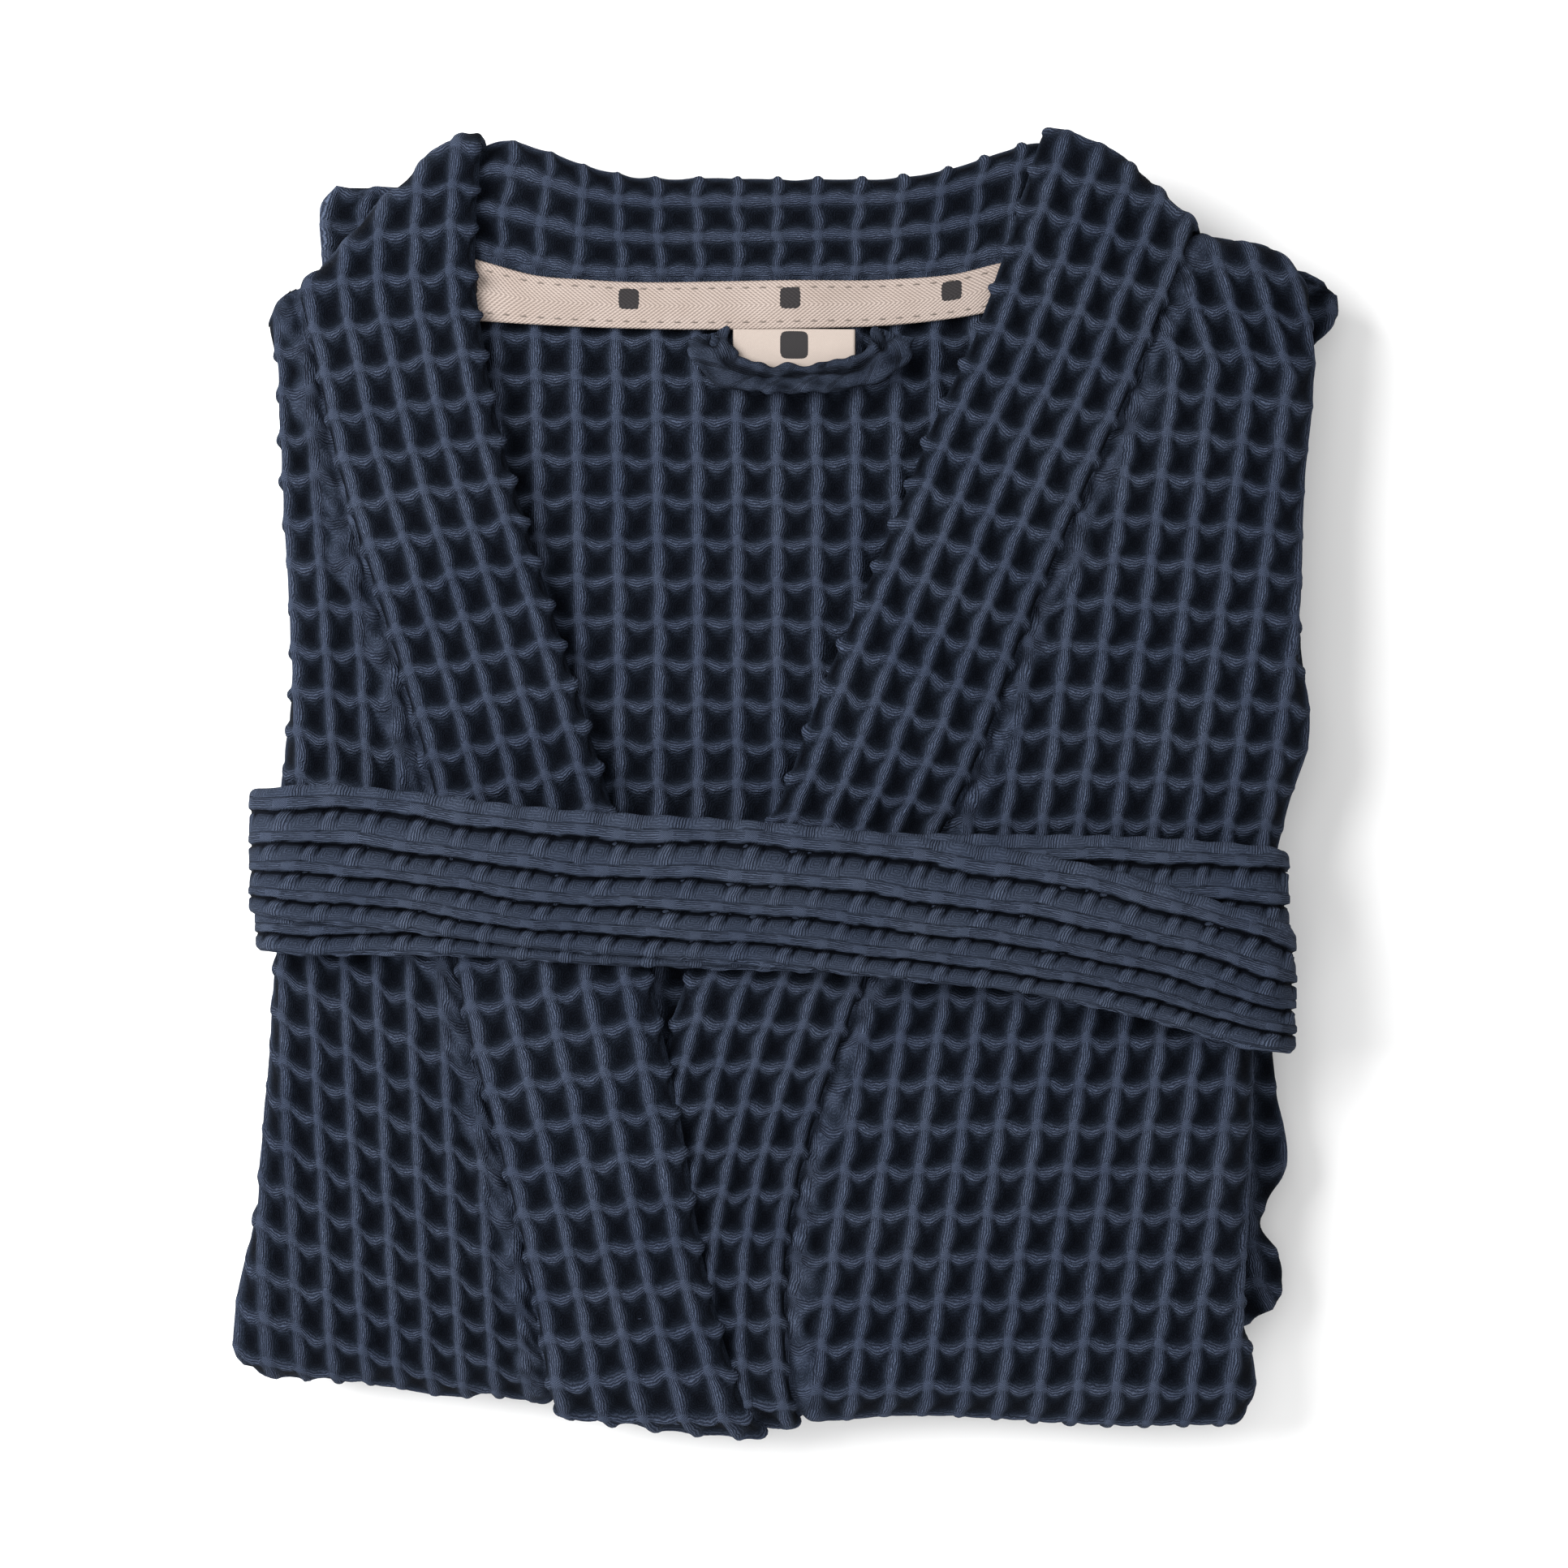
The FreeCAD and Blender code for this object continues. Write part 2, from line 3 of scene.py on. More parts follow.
import bpy
import numpy as np
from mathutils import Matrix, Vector


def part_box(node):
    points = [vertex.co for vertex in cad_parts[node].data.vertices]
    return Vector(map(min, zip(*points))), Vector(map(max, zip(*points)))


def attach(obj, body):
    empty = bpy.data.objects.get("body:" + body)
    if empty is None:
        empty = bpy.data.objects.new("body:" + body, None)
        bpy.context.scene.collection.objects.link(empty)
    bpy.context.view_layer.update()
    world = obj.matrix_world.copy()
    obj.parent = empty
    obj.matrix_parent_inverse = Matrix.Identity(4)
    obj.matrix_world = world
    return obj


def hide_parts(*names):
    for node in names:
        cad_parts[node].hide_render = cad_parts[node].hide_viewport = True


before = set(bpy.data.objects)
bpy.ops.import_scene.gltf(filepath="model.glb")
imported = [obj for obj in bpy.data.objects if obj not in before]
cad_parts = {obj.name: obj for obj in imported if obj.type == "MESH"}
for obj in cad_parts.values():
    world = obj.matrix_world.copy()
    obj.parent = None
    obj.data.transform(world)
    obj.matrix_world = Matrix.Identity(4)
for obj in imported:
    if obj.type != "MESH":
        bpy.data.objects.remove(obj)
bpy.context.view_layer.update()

# A folded waffle-cloth bathrobe. Lengths here are millimetres in the CAD frame (+Z up, +Y to the collar)
# until a mesh is made, which is in metres. Every cloth surface is a grid over the cloth's own coordinates:
# u across the ridges and v along them, so the weave follows the cloth wherever it is folded.
MM = 0.001

PITCH = 13.4          # one waffle cell
RELIEF = 4.2          # from the bottom of a pit to the top of a ridge
FINE = 0.85           # grid step where the cloth is seen
COARSE = 2.4          # grid step where it is folded away
CHANCE = np.random.default_rng(17).random((64, 160, 4))   # chances for each cell: column, row, which


def node_box(name):
    """A CAD node's lowest and highest corners, in millimetres."""
    low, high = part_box(name)
    return np.array(low) / MM, np.array(high) / MM


_, BACK_HIGH = node_box("back_panel")
FRONT_LOW, FRONT_HIGH = node_box("left_front")
_, BAND_HIGH = node_box("left_collar_band")
SLEEVE_LOW, SLEEVE_HIGH = node_box("left_sleeve")
BELT_LOW, BELT_HIGH = node_box("belt")
TAPE_LOW, TAPE_HIGH = node_box("neck_tape")
LABEL_LOW, LABEL_HIGH = node_box("sewn_label")
LOOP_LOW, _ = node_box("hanger_loop")

LAYER = FRONT_HIGH[2] - BACK_HIGH[2]           # one layer of cloth
BACK_MID = BACK_HIGH[2] - LAYER / 2            # heights of the layers' middles in the first pass
FRONT_MID = FRONT_HIGH[2] - LAYER / 2
SIDE_AXIS = BACK_MID - LAYER / 2               # the side folds turn round this height
SKIRT_BOTTOM = FRONT_LOW[2] + LAYER + 0.3      # underside of the second pass
FOLD_AXIS = (FRONT_HIGH[2] + SKIRT_BOTTOM) / 2  # the lower fold turns round this height
UPPER_AXIS = SKIRT_BOTTOM - 0.45               # and the upper one, under the packet, round this
LOWER_LINE = -189.0                            # Y where the lower fold starts
UPPER_LINE = 178.0                             # Y where the upper fold starts
HEM_LINE = 5.0                                 # Y of the hem under the packet
SHOULDER_FALL = 22                             # how far the upper fold falls towards the packet's sides


# ---------------- curves

def smooth_curve(knots, values, at):
    """Smooth values through knots (cubic, with averaged slopes), carried on straight beyond the ends."""
    knots, values = np.asarray(knots, float), np.asarray(values, float)
    if values.ndim == 1:
        values = values[:, None]
    slopes = np.gradient(values, knots, axis=0)
    at = np.asarray(at, float)
    k = np.clip(np.searchsorted(knots, at) - 1, 0, len(knots) - 2)
    span = knots[k + 1] - knots[k]
    t = ((at - knots[k]) / span)[..., None]
    inside = np.clip(t, 0, 1)
    a, b = values[k], values[k + 1]
    da, db = slopes[k] * span[..., None], slopes[k + 1] * span[..., None]
    t2, t3 = inside ** 2, inside ** 3
    result = (2 * t3 - 3 * t2 + 1) * a + (t3 - 2 * t2 + inside) * da
    result = result + (3 * t2 - 2 * t3) * b + (t3 - t2) * db
    result = result + np.where(t < 0, t, 0) * da + np.where(t > 1, t - 1, 0) * db
    return result[..., 0] if result.shape[-1] == 1 else result


def polyline_length(points):
    """The length along a row of points up to each of them."""
    return np.concatenate([[0], np.cumsum(np.linalg.norm(np.diff(points, axis=0), axis=1))])


def unit(vectors):
    return vectors / np.linalg.norm(vectors, axis=1, keepdims=True)


def line_of(points):
    """x as a smooth function of y, from points (x, y) listed downwards."""
    points = np.array(points)[::-1]
    return lambda y: smooth_curve(points[:, 1], points[:, 0], y)


def ease(x, low, high):
    """0 below low, 1 above high, and a smooth rise between."""
    t = np.clip((x - low) / (high - low), 0, 1)
    return t * t * (3 - 2 * t)


def steps(*stretches):
    """Grid lines through stretches (from, to, step), without doubled ends."""
    lines = []
    for start, end, step in stretches:
        count = max(1, int(round(abs(end - start) / step)))
        lines.extend(np.linspace(start, end, count, endpoint=False))
    lines.append(stretches[-1][1])
    return np.array(lines)


def swell(x, y):
    """Slow rise and fall of the packet's top, shared by every layer."""
    slow = 0.7 * np.sin(x / 31 + 0.6) * np.cos(y / 43)
    return slow + 0.5 * np.sin(x / 17 - y / 29) + 0.3 * np.sin(y / 13 + x / 41)


def fold(along, z, line, axis, radius, sign):
    """Folds cloth that runs past a line round an axis under (or over) it, and back."""
    beyond = sign * (along - line)
    arm = z - axis
    turn = np.clip(beyond / radius, 0, math.pi)
    back = np.maximum(beyond - math.pi * radius, 0)
    folded = beyond > 0
    new_along = np.where(folded, line + sign * (np.abs(arm) * np.sin(turn) - back), along)
    return new_along, np.where(folded, axis + arm * np.cos(turn), z)


# the packet's side folds: where the cloth starts to turn, from the collar down
LEFT_LINE = line_of([
    (-158, 175), (-160, 160), (-161, 148), (-158.5, 134), (-158.8, 121), (-157, 95), (-153.2, 69),
    (-152.5, 43), (-153.5, 17), (-156.5, -30), (-159, -57), (-160.2, -94), (-163.7, -124),
    (-166.6, -149), (-170, -171), (-171.5, -181), (-165, -215), (-156, -300), (-156, -800),
])
RIGHT_LINE = line_of([
    (161, 175), (164, 160), (164.6, 142), (163.3, 121), (161.6, 105), (160, 69), (160.2, 43),
    (162.5, 27), (162.5, 12), (157.5, -4), (151, -35), (147, -62), (145, -87), (143, -117),
    (142, -148), (142, -170), (144.5, -186), (143, -230), (144, -300), (144, -800),
])
# the lower fold from left to right: X, and the Y where it starts
LOWER_FOLD = np.array([
    (-176, -177), (-165, -179), (-150, -180.5), (-130, -181.5), (-110, -184), (-90, -184.5), (-75, -186),
    (-55, -188.5), (-40, -189.8), (-10, -190.5), (10, -192), (35, -190.8), (60, -192), (80, -193.6),
    (150, -194.5),
])
# seams between the fronts and the collar bands
LEFT_SEAM = line_of([
    (-121, 195), (-157, 162), (-151, 136), (-144.5, 102), (-133, 62), (-125, 40), (-118, 8),
    (-111, -16), (-105, -60), (-99, -88), (-92, -115), (-85, -143), (-80, -170), (-76, -194),
    (-70, -230), (-66, -800),
])
RIGHT_SEAM = line_of([
    (129, 178), (120, 150), (110, 122), (99, 98), (88, 74), (78, 51), (73, 38), (61.5, 2), (50, -17),
    (33, -48), (26, -65), (17.5, -86), (10.5, -108), (4.5, -132), (1, -150), (1, -175), (5, -205),
    (4, -800),
])


def lower_line(x):
    """Y where the packet's lower fold starts."""
    return smooth_curve(LOWER_FOLD[:, 0], LOWER_FOLD[:, 1], x)


def around_folds(x, y, z, radius):
    """Takes cloth that lies flat down the packet round the lower fold and then the upper one."""
    line = lower_line(x)
    second = y < line - math.pi * radius / 2
    y, z = fold(y, z, line, FOLD_AXIS, radius, -1)
    upper_line = UPPER_LINE - SHOULDER_FALL * ease(np.abs(x), 95, 145)
    y2, z2 = fold(y, z, upper_line, UPPER_AXIS, upper_radius(radius), 1)
    return np.where(second, y2, y), np.where(second, z2, z)


def upper_radius(radius):
    """The radius at the upper fold of a layer that turns the lower fold at a radius."""
    return max(FOLD_AXIS - radius - UPPER_AXIS, 1.0)


def hem_of(radius):
    """The flat Y of the hem of a layer that turns the lower fold at a radius."""
    runs = (UPPER_LINE - LOWER_LINE) + (UPPER_LINE - HEM_LINE)
    return LOWER_LINE - math.pi * (radius + upper_radius(radius)) - runs


# ---------------- weave

def chance(column, row, which):
    """A number from 0 to 1 that belongs to a cell."""
    columns, rows, _ = CHANCE.shape
    return CHANCE[column.astype(int) % columns, row.astype(int) % rows, which]


def ridge(distance, half_width):
    """A flat-topped ridge: 1 on its line, a half at half_width."""
    return 1 / (1 + np.abs(distance / half_width) ** 4.5)


def wrapped(cells):
    """Millimetres from the nearest line of the weave, from a coordinate in cells."""
    return (cells - np.round(cells)) * PITCH


def waffle(u, v, sag=1.0):
    """The weave: height 0 to 1, and the coordinates in cells after the threads' wander.

    Ridges run along v. Between them hang short bundles of threads, which sag towards +v.
    """
    u = u + 0.5 * np.sin(v / 47 + 1.3) + 0.35 * np.sin(u / 39 + v / 61)
    v = v + 0.5 * np.sin(u / 43) + 0.35 * np.sin(v / 37 - u / 53)
    column, row = np.floor(u / PITCH), np.floor(v / PITCH)
    a, b = u / PITCH - column, v / PITCH - row
    part = ease(b, 0, 1)
    loose = (1 - part) * chance(column, row, 0) + part * chance(column, row + 1, 0)
    turned = (1 - part) * chance(column, row, 1) + part * chance(column, row + 1, 1)
    droop = sag * (1.7 + 1.9 * loose) * np.sin(math.pi * a) ** 1.2
    droop = droop + 1.5 * (turned - 0.5) * np.sin(2 * math.pi * a)
    part = ease(a, 0, 1)
    pushed = (1 - part) * chance(column, row, 2) + part * chance(column + 1, row, 2)
    bulge = (0.1 + 0.9 * pushed) * np.sin(math.pi * b) ** 2
    across, along = (u - bulge) / PITCH, (v - droop) / PITCH
    from_ridge, from_row = np.abs(wrapped(across)), np.abs(wrapped(along))
    ridge_wide = 1.95 + 0.5 * np.sin(math.pi * along) ** 2
    bundle_wide = 0.85 + 1.0 * np.abs(np.sin(math.pi * across)) ** 0.9
    high = ridge(from_ridge, ridge_wide)
    low = 0.86 * ridge(from_row, bundle_wide)
    slope = 1 - np.minimum(from_ridge, from_row) / (PITCH / 2)
    knot = np.exp(-(from_ridge / 2.0) ** 4 - (from_row / 1.8) ** 4)
    height = 0.34 * np.clip(slope, 0, 1) ** 1.1 + 0.60 * (high ** 5 + low ** 5) ** 0.2 + 0.06 * knot
    return height, across, along


BELT_WIDE = 43.0
BELT_ROLL = 2.2
# millimetres from the belt's upper edge, round it and back, to each of its cords
BELT_CORDS = (-8, 2.5, 14.5, 24.5, 33.5, *range(42, 109, 11))


def pressed_waffle(u, v):
    """The belt's weave: pressed flat, so each cord leans over the cells below it. u runs downwards.

    Each cell has a slit under its cord's lip and a bundle that hangs across it like a rung.
    """
    wander = 0.05 * np.sin(v / 23) + 0.035 * np.sin(v / 9 + u / 7) + 0.02 * np.sin(v / 4.3 - u / 5)
    across = np.interp(u, BELT_CORDS, np.arange(len(BELT_CORDS))) + 0.15 + wander
    cord = np.floor(across)
    a = across - cord
    along = v / PITCH + 0.37 * cord + 0.07 * np.sin(v / 17) + 0.05 * np.sin(v / 6.1 + 2.2 * cord)
    cell = np.floor(along)
    b = along - cell
    loose, bent = chance(cell, cord, 0), chance(cell, cord, 1)
    lip = 0.27 + 0.05 * loose + 0.015 * np.sin(v / 1.3 + cord)
    shelf = ease(a, -0.05, 0.08) * (1 - ease(a, lip, lip + 0.08))
    # the slit, the low fill under the lip and the hollows are real dents; the height also sets the colour,
    # so they come out as painted shadow under each lip and beside each rung
    slit = np.exp(-((a - lip - 0.11) / 0.075) ** 2)
    fill = np.where(a < 0.3, 0.78, 0.26 + 0.46 * ease(a, 0.36, 0.88)) - 0.36 * slit
    beside = ((b - 0.5 - (0.30 + 0.22 * bent) * (1 - a) ** 2.2 + 0.5) % 1 - 0.5) * PITCH
    within_cell = ease(a, 0.34 + 0.08 * bent, 0.46 + 0.08 * bent)
    rung = ridge(beside, 1.2 + 0.6 * loose) * within_cell * (0.68 + 0.30 * bent)
    hollow = np.exp(-((np.abs(beside + 0.2) - 2.5) / 0.8) ** 2) * (1 - ease(a, 0.6, 0.9))
    knot = ridge((b - 0.5) * PITCH, 2.3) * shelf
    height = np.maximum(fill, 0.90 * shelf) - (0.22 + 0.22 * bent) * hollow * (1 - shelf)
    height = np.maximum(height, -0.28)
    height = height + (1.0 - height) * rung * (1 - shelf) + 0.16 * knot
    rolled = np.maximum(1 - ease(u, 0.5, 3), ease(u, BELT_WIDE - 2, BELT_WIDE))
    height = height * (1 - rolled) + (0.80 + 0.08 * np.sin(v / 2.1)) * rolled
    return height, across, along


# ---------------- meshes

def normals_of(points, closed):
    """Unit normals of a grid of points, pointing to the outside of the cloth's curl."""
    if closed:
        round_again = np.concatenate([points[-1:], points, points[:1]])
        along_u = np.gradient(round_again, axis=0)[1:-1]
    else:
        along_u = np.gradient(points, axis=0)
    normal = np.cross(np.gradient(points, axis=1), along_u)
    return normal / np.maximum(np.linalg.norm(normal, axis=-1, keepdims=True), 1e-9)


def grid_mesh(name, grids):
    """One object from grids: dicts with points, and per-point values, an optional keep mask and closed."""
    all_points, all_faces, values, start = [], [], {}, 0
    for grid in grids:
        points = grid["points"]
        across, along = points.shape[:2]
        index = np.arange(across * along).reshape(across, along)
        rows = np.concatenate([index, index[:1]]) if grid.get("closed") else index
        corners = [rows[:-1, :-1], rows[:-1, 1:], rows[1:, 1:], rows[1:, :-1]]
        faces = np.stack(corners, axis=-1).reshape(-1, 4)
        if "keep" in grid:
            faces = faces[grid["keep"].reshape(-1)[faces].all(axis=1)]
        used = np.zeros(across * along, bool)
        used[faces.reshape(-1)] = True
        renumber = np.cumsum(used) - 1
        all_points.append(points.reshape(-1, 3)[used])
        all_faces.append(renumber[faces] + start)
        start += used.sum()
        for key in ("relief", "across", "along", "pressed"):
            value = np.broadcast_to(grid.get(key, 0.0), (across, along)).reshape(-1)
            values.setdefault(key, []).append(value[used])
    points = np.concatenate(all_points) * MM
    faces = np.concatenate(all_faces)
    mesh = bpy.data.meshes.new(name)
    mesh.vertices.add(len(points))
    mesh.vertices.foreach_set("co", points.astype(np.float32).reshape(-1))
    mesh.loops.add(faces.size)
    mesh.loops.foreach_set("vertex_index", faces.astype(np.int32).reshape(-1))
    mesh.polygons.add(len(faces))
    mesh.polygons.foreach_set("loop_start", np.arange(0, faces.size, 4, dtype=np.int32))
    mesh.polygons.foreach_set("use_smooth", np.ones(len(faces), bool))
    mesh.update(calc_edges=True)
    mesh.validate()
    for key, parts in values.items():
        layer = mesh.attributes.new(key, "FLOAT", "POINT")
        layer.data.foreach_set("value", np.concatenate(parts).astype(np.float32))
    piece = bpy.data.objects.new(name, mesh)
    bpy.context.scene.collection.objects.link(piece)
    return piece


def puckered(height, across, along):
    """The weave where a seam presses it: nearly flat, with slanting puckers."""
    slanting = np.sin(2 * math.pi * (along + 0.7 * across))
    slanting = slanting + 0.6 * np.sin(2 * math.pi * (1.7 * along - across) + 1)
    return 0.60 + 0.30 * (height - 0.5) + 0.13 * slanting


def cloth_grid(u_lines, v_lines, place, keep, side=None, pressed=None, calm=None):
    """A grid of displaced waffle cloth. place, keep, side, pressed and calm are functions of (u, v).

    place gives points, keep the points that stay, side the weave's facing, pressed where a seam presses it
    flat, and calm how much relief is left.
    """
    u, v = np.meshgrid(u_lines, v_lines, indexing="ij")
    base = place(u, v)
    height, across, along = waffle(u, v)
    flat = pressed(u, v) if pressed else 0
    height = height * (1 - flat) + flat * puckered(height, across, along)
    deep = RELIEF * (calm(u, v) if calm else 1) * (side(u, v) if side else 1)
    points = base + normals_of(base, False) * ((height - 0.5) * deep)[..., None]
    return {"points": points, "relief": height, "along": along, "across": across, "pressed": flat,
            "keep": keep(u, v)}


# ---------------- panels

LEFT_ROW, RIGHT_ROW, BACK_ROW = 1.03, 1.05, 0.985   # Y per millimetre of cloth down each panel
SEEN_TO = -255.0                               # the fronts' cloth is seen down to this flat Y


def left_front_flat(u, v):
    """Cloth coordinates to the packet's flat plane: columns lean a little, rows slope down to the right."""
    row_y = 168 - v * LEFT_ROW
    x = -172 + u * 0.80 + 0.055 * (100 - np.maximum(row_y, -230))
    slope = 0.03 + 0.50 * ease(-row_y, -70, 60) - 0.20 * ease(-row_y, 120, 200)
    return x, row_y - slope * (x + 150)


def right_front_flat(u, v):
    """The same for the right front: columns lean out towards the shoulder, rows are bowed."""
    row_y = 186 - v * RIGHT_ROW
    lean = 0.13 * (np.maximum(row_y, -230) + 30) - 0.45 * np.maximum(row_y - 138, 0)
    x = 8 + u * 0.9 + lean
    return x, row_y + 0.01 * (x - 80) - 0.0006 * (x - 60) ** 2 * ease(row_y, -60, 40)


def left_top(x):
    """Y of the left front's fold at the shoulder."""
    return smooth_curve([-175, -168, -160, -150], [140, 147, 153, 159], x)


def right_top(x):
    """Y of the right front's fold at the shoulder."""
    return smooth_curve([110, 129.5, 142, 160, 172], [178, 171, 169.5, 166, 158], x)


def make_front(name, flat, side, edge_line, seam_line, top_line, u_lines):
    """A front, at side -1 or 1. The lines are those of its side fold, its seam and its shoulder fold."""
    middle = FRONT_MID - FOLD_AXIS
    hem = hem_of(middle)

    def place(u, v):
        """Adds the swell and the seam's welt, then folds the cloth: side, shoulder, lower, upper."""
        x, y = flat(u, v)
        from_seam = side * (x - seam_line(y))
        z = FRONT_MID + swell(x, y) + 0.9 * np.exp(-((from_seam - 5.5) / 2.6) ** 2)
        z = z - 2.0 * np.exp(-((from_seam - 0.3) / 1.7) ** 2) - 1.2 * ease(-from_seam, 0, 4)
        axis = SIDE_AXIS + LAYER * ease(lower_line(x) - y, 0, math.pi * middle)
        x, z = fold(x, z, edge_line(y), axis, np.maximum(FRONT_MID - axis, 1.5), side)
        y, z = fold(y, z, top_line(x), SIDE_AXIS, FRONT_MID - SIDE_AXIS, 1)
        return np.stack([x, *around_folds(x, y, z, middle)], axis=-1)

    def keep(u, v):
        """From the seam to the return round the side, which is short below the lower fold."""
        x, y = flat(u, v)
        return_length = np.where(lower_line(x) - y > -4, 15.0, 100.0)
        inside = (side * (x - seam_line(y)) > -9) & (side * (x - edge_line(y)) < return_length)
        return inside & (y > hem) & (y < top_line(x) + 30)

    def calm(u, v):
        """The weave stretches flatter round the folds."""
        x, y = flat(u, v)
        around = np.maximum(ease(side * (x - edge_line(y)), -4, 3), ease(lower_line(x) - y, -4, 10))
        return np.maximum(1 - 0.75 * ease(y - top_line(x), -8, 0) - 0.4 * around, 0.15)

    def pressed(u, v):
        """The weave is pressed nearly flat over the seam allowance, with a ragged inner edge."""
        x, y = flat(u, v)
        ragged = 1.6 * np.sin(y / 4.1) + 1.2 * np.sin(y / 7.3 + 1)
        return 1 - ease(side * (x - seam_line(y)) + ragged, 5.5, 10.5)

    start = 180
    fine_end = (start - SEEN_TO) / LEFT_ROW
    v_lines = steps((-4, fine_end, FINE), (fine_end, (start - hem) / LEFT_ROW, COARSE))
    return grid_mesh(name, [cloth_grid(u_lines, v_lines, place, keep, pressed=pressed, calm=calm)])


def make_fronts():
    left_lines = steps((-140, 2, COARSE), (2, 160, FINE))
    left = make_front("left_front_cloth", left_front_flat, -1, LEFT_LINE, LEFT_SEAM, left_top, left_lines)
    right_lines = steps((-45, 185, 0.95), (185, 320, COARSE))
    right = make_front(
        "right_front_cloth", right_front_flat, 1, RIGHT_LINE, RIGHT_SEAM, right_top, right_lines,
    )
    return left, right


BACK_TOP = 172.0


def back_flat(u, v):
    return -170 + u * 0.963, BACK_TOP - v * BACK_ROW


def neck_y(x):
    """Y of the seam between the back and the collar."""
    return smooth_curve(
        [-170, -150, -120, -105, -97, -80, -62, 0, 35, 55, 72, 100, 150],
        [146, 155, 168, 170, 168, 163.5, 162, 162, 162.3, 164, 168, 168, 156], x,
    )


def make_back():
    hem = hem_of(BACK_MID - FOLD_AXIS)
    upper_fold = 380      # the cloth from the lower fold to the upper one

    def place(u, v):
        x, y = back_flat(u, v)
        z = BACK_MID + swell(x, y)
        third = ease(lower_line(x) - y, upper_fold, upper_fold + 20)
        axis = SIDE_AXIS + third * LAYER
        radius = np.maximum(np.abs(BACK_MID - axis), 1.5)
        for edge_line, side in ((LEFT_LINE, -1), (RIGHT_LINE, 1)):
            x, z = fold(x, z, edge_line(y), axis, radius, side)
        y, z = around_folds(x, y, z, BACK_MID - FOLD_AXIS)
        return np.stack([x, y, z], axis=-1)

    def keep(u, v):
        x, y = back_flat(u, v)
        passed = lower_line(x) - y
        return_length = np.where(passed > upper_fold, 15.0, np.where(passed > -4, 0.0, 100.0))
        inside = (x > LEFT_LINE(y) - return_length) & (x < RIGHT_LINE(y) + return_length)
        return inside & (y > hem) & (y < neck_y(x) + 1.5)

    def side(u, v):
        """The weave shows on the upper side above, and turns to the under side down the cloth."""
        return 1 - 2 * ease(v, 430, 700)

    u_lines = steps((-110, 58, COARSE), (58, 262, FINE), (262, 450, COARSE))
    v_end = (BACK_TOP - hem) / BACK_ROW
    v_lines = steps((0, 205, FINE), (205, 360, COARSE), (360, 420, 1.6), (420, v_end, COARSE))
    return grid_mesh("back_panel_cloth", [cloth_grid(u_lines, v_lines, place, keep, side)])


# ---------------- ribbons: bands, collar, sleeves, belt, loop

def loop_section(width, roll, top_step, under_step):
    """A flat loop's section from one edge over the top, round, and back beneath.

    Gives the way round in millimetres, the part of the flat, and the roll's two components.
    """
    flat = width - 2 * roll
    arc = math.pi * roll
    over = steps((0, flat, top_step))[:-1]
    turn = steps((0, arc, top_step))[:-1]
    under = steps((0, flat, under_step))[:-1]
    way = np.concatenate([over, flat + turn, flat + arc + under, turn - arc])
    part = np.concatenate([over / flat, np.ones(len(turn)), 1 - under / flat, np.zeros(len(turn))])
    sideways = np.concatenate([0 * over, np.sin(turn / roll), 0 * under, -np.sin(turn / roll)])
    upwards = np.concatenate([0 * over + 1, np.cos(turn / roll), 0 * under - 1, -np.cos(turn / roll)])
    return way, part, sideways, upwards


def ribbon_grid(section, v_lines, edge_a, edge_b, roll, weave, depth, normal=None, after=None, pressed=0.0,
                flat_wide=None, calm=None):
    """A flat loop of cloth along two edges. edge_a, edge_b and normal are arrays over v_lines.

    normal points out of the loop's top, and up when it isn't given. depth is the relief's, and pressed is
    where a seam presses the weave flat: numbers, or arrays over the section and v_lines. after moves the
    finished base, and calm is how much relief is left. With flat_wide, the width of the section's flat
    part, the weave isn't squeezed where the loop is narrower.
    """
    if normal is None:
        normal = np.tile([0.0, 0.0, 1.0], (len(v_lines), 1))
    way, part, sideways, upwards = section
    across = edge_b - edge_a
    wide = np.linalg.norm(across, axis=1, keepdims=True)
    roll = np.broadcast_to(np.asarray(roll, float), (len(v_lines),))[:, None]
    inset = roll + part[:, None, None] * (wide - 2 * roll) + roll * sideways[:, None, None]
    base = edge_a + across / wide * inset + normal * (roll * upwards[:, None, None])
    quiet = calm(base) if calm else 1.0
    if after:
        base = after(base)
    u, v = np.meshgrid(way, v_lines, indexing="ij")
    if flat_wide:
        u = u * wide[None, :, 0] / flat_wide
    height, across, along = weave(u, v)
    height = height * (1 - pressed) + pressed * puckered(height, across, along)
    outward = normals_of(base, True)
    turned = np.sum(outward * normal[None] * upwards[:, None, None]) < 0
    points = base + outward * ((height - 0.5) * (quiet * depth) * (-1 if turned else 1))[..., None]
    grid = {"points": points, "relief": height, "along": along, "across": across,
            "pressed": np.broadcast_to(pressed, u.shape)}
    if turned:
        grid = {key: value[:, ::-1] for key, value in grid.items()}
    return {**grid, "closed": True}


def middle_of(stations):
    """The middle of a ribbon at each of its stations (edge a x, y, z, edge b x, y, z)."""
    return np.reshape(stations, (-1, 2, 3)).astype(float).mean(axis=1)


def edges_along(stations, v_lines):
    """Both edges of a ribbon through its stations, at lengths along its middle."""
    both = smooth_curve(polyline_length(middle_of(stations)), stations, v_lines)
    return both[:, :3], both[:, 3:]


def shoulder_y(x):
    """Y of the packet's outline over the shoulders, where the collar bands turn down behind."""
    left = smooth_curve(
        [-168, -160, -151, -145, -137, -121, -109.5, -99, -90],
        [152, 155, 160, 165, 174.5, 189.5, 199.5, 203, 203], x,
    )
    right = smooth_curve([70, 84, 97, 113, 123, 132, 150], [204, 204.5, 201.5, 193, 184.5, 177, 165], x)
    return np.where(x < 0, left, right)


def band_calm(base):
    """The weave stretches flatter where it turns over the shoulder."""
    return 1 - 0.6 * ease(base[..., 1] - shoulder_y(base[..., 0]), -8, 0)


